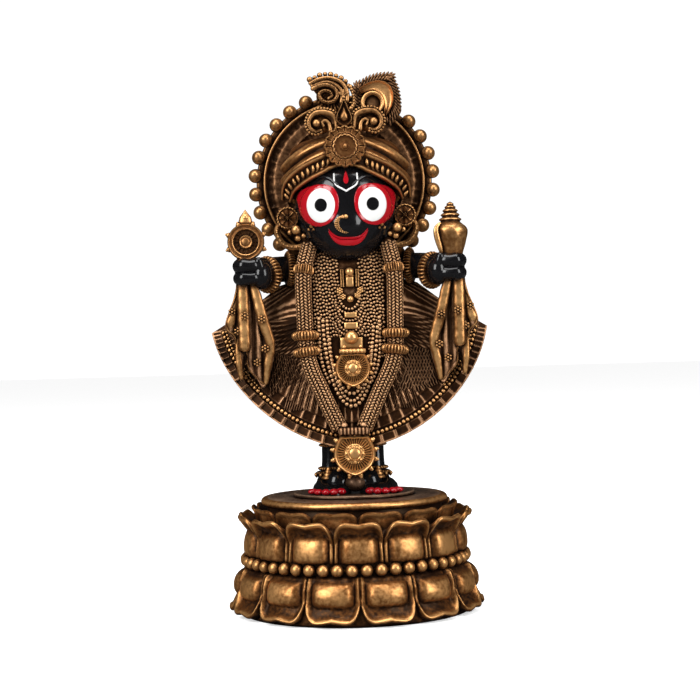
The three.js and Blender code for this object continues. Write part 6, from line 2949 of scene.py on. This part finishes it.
@dataclass(frozen=True)
class LegsAndFeet:
    """The black legs, the feet with their red toes, the anklets and the low mound."""

    leg: Table = ((8.6, 1.0, 1.8), (7.3, 0.4, 9.0), (7.1, 0.0, 16), (7.1, 0.0, 24))
    leg_radii: Line = ((1.8, 4.6), (4.5, 4.2), (8, 3.4), (16, 3.3), (24, 3.4))
    foot: Line = ((0, 0), (0.04, 0.96), (0.3, 1.0), (0.55, 0.93), (0.8, 0.7), (0.93, 0.42), (1, 0.0))
    foot_length: float = 7.6
    foot_widths: Spot = (7.6, 5.6)
    bell_place: Point = (8.2, 5.3, 5.3)
    bell_height: float = 4.4
    bell: Line = (
        (0, 0), (0.02, 2.5), (0.15, 2.55), (0.3, 1.9), (0.55, 1.45), (0.8, 0.8), (0.95, 0.5), (1, 0),
    )
    foot_x: float = 9.8
    inward: Spot = (1.7, 0.5)
    foot_y: float = 6.6
    mound: float = 20.4
    mound_depth: float = 0.92
    toe_count: int = 5
    first_toe: float = -38.0
    toe_step: float = 24.0
    anklets: Table = ((8.8, 4.6, 0.7, 30), (7.4, 5.0, 0.65, 30), (16.6, 4.4, 0.6, 26))
    sash_end: Point = (0.6, 7.5, 4.2)
    sash_size: Point = (3.5, 3.4, 2.9)
    mound_rows: Table = (
        (0.0, 0.0, 0.1), (1.0, 0.0, 0.3), (1.0, 0.35, 0.7), (0.992, 0.7, 0.95), (0.975, 0.9, 0.9),
        (0.95, 0.82, 0.5), (0.6, 0.8, 0.45), (0.0, 0.82, 0.4),
    )

    def build(self) -> None:
        """Builds and dresses the legs and feet."""
        place = figure_place()
        place.carve("legs_and_feet", Finish.BLACK, self.model_legs)
        place.carve("toes", Finish.RED, self.model_toes)
        place.carve("anklets", Finish.BROWN_GILT, self.turn_anklets)
        place.carve("mound_and_sash_end", Finish.SATIN_BROWN, self.turn_mound)

    def middle_of(self, side: float) -> float:
        """Where a foot's middle stands across: -1 is the left foot and 1 the right one."""
        return side * (self.foot_x - self.inward[0 if side < 0 else 1])

    def model_legs(self, made: Carving) -> None:
        """Models the legs and the feet.

        Args:
            made: The carving it goes into.
        """
        for side in SIDES:
            route = along([(side * x, y, z) for x, y, z in self.leg], 40)
            made.tube(route, follow(route[:, 2], self.leg_radii), sides=28)
            a = angles(48)
            s = np.linspace(0, 1, 18)[:, None]
            half = follow(s, self.foot)
            long = self.foot_length * np.where(np.cos(a) > 0, 1.0, 0.92)
            inward = np.where(side * np.sin(a) < 0, *self.foot_widths)
            x = self.middle_of(side) + inward * half * np.sin(a)
            y = self.foot_y - 0.4 + long * half * np.cos(a) - 1.6 * s
            z = 0.6 + 5.6 * s * np.where(np.cos(a) > 0, 1 - 0.25 * np.cos(a), 1.0)
            made.shell(xyz(x, y, z), 0.5)
            made.bead((side * 5.2, 4.6, 4.2), (4.4, 4.6, 4.6))

    def model_toes(self, made: Carving) -> None:
        """Models the five red toes of each foot.

        Args:
            made: The carving it goes into.
        """
        for side in SIDES:
            for k in range(self.toe_count):
                turn = side * math.radians(self.first_toe + self.toe_step * k)
                out = np.array([math.sin(turn), math.cos(turn), 0.0])
                size = 1.62 - 0.08 * k
                place_at = np.array([self.middle_of(side), self.foot_y - 0.4, 1.9]) + out * (6.2, 7.2, 0)
                beside = np.array([out[1], -out[0], 0.0])
                axes = np.array([np.stack([out * 1.9, beside * size, np.array([0, 0, size * 0.72])])])
                made.stones(place_at[None], 1.0, axes=axes, detail=3)

    def turn_anklets(self, made: Carving) -> None:
        """Turns the anklets and hangs their bells.

        Args:
            made: The carving it goes into.
        """
        axes = (np.array([0.0, 0.0, 1.0]), np.array([1.0, 0.0, 0.0]), np.array([0.0, 1.0, 0.0]))
        for side in SIDES:
            for z, radius, half, ribs in self.anklets:
                x = side * float(follow(z, [(up, out) for out, _, up in self.leg]))
                centre = np.array([x, 0.3, z])
                ribbed_ring(made, centre, axes, radius, half, ribs, 2.8, 0.3)
                if z > 8:
                    continue
                a = angles(9)
                ring = xyz(x + 4.9 * np.sin(a), 0.3 + 4.9 * np.cos(a), z - 0.6)
                made.stones(ring, 0.8, detail=1)
                made.stones(ring - (0, 0, 0.7), 0.4, detail=1)
            x, y, z = side * self.bell_place[0], self.bell_place[1], self.bell_place[2]
            a = angles(40)
            s = np.linspace(0, 1, 20)[:, None]
            r = follow(s, self.bell)
            points = xyz(x + r * np.sin(a), y + 0.8 * r * np.cos(a), z + self.bell_height * s)
            made.shell(points, np.clip(0.4 + 0.3 * np.cos(a) + 0.3 * np.cos(s * 30), 0, 1))

    def turn_mound(self, made: Carving) -> None:
        """Turns the low mound under the feet and the end of the sash between them.

        Args:
            made: The carving it goes into.
        """
        a = angles(160)
        reach = self.mound / np.hypot(np.sin(a), np.cos(a) / self.mound_depth)
        s, z, lift = (np.asarray(v)[:, None] for v in zip(*self.mound_rows))
        made.shell(level_ring(s * reach, a, z), lift)
        made.bead(self.sash_end, self.sash_size, low=0.3)


# The whole object.


def main() -> None:
    """Builds the studio and the object's sub-assemblies in order."""
    logging.basicConfig(level=logging.INFO, format="%(message)s")
    Studio().set_up()
    locket = Pendant(
        name="locket",
        z=42.4,
        y=14.2,
        half_width=5.7,
        bar_z=47.9,
        bar_half=4.4,
        bar_tall=0.85,
        knot=0.7,
        x=0.8,
        bar_finish=Finish.POLISHED,
    )
    drop = Pendant(
        name="drop_pendant",
        z=14.6,
        y=15.0,
        half_width=6.8,
        bar_z=21.8,
        bar_half=5.1,
        bar_tall=1.3,
        knot=1.15,
        x=0.6,
        bar_finish=Finish.UMBER,
    )
    parts = [
        LotusPlinth(),
        LegsAndFeet(),
        Skirt(),
        Chest(),
        Rope(-1.0),
        Rope(1.0, shift=0.6),
        locket,
        drop,
        Arm(-1.0),
        Arm(1.0),
        Discus(),
        Conch(),
        Kerchief(-1.0),
        Kerchief(1.0),
        Head(),
        Turban(),
        Crest(),
        Halo(),
        Feathers(),
    ]
    for part in parts:
        part.build()
    log.info("%d pieces, %d triangles", len(TALLY), sum(TALLY))


if __name__ == "__main__":
    main()
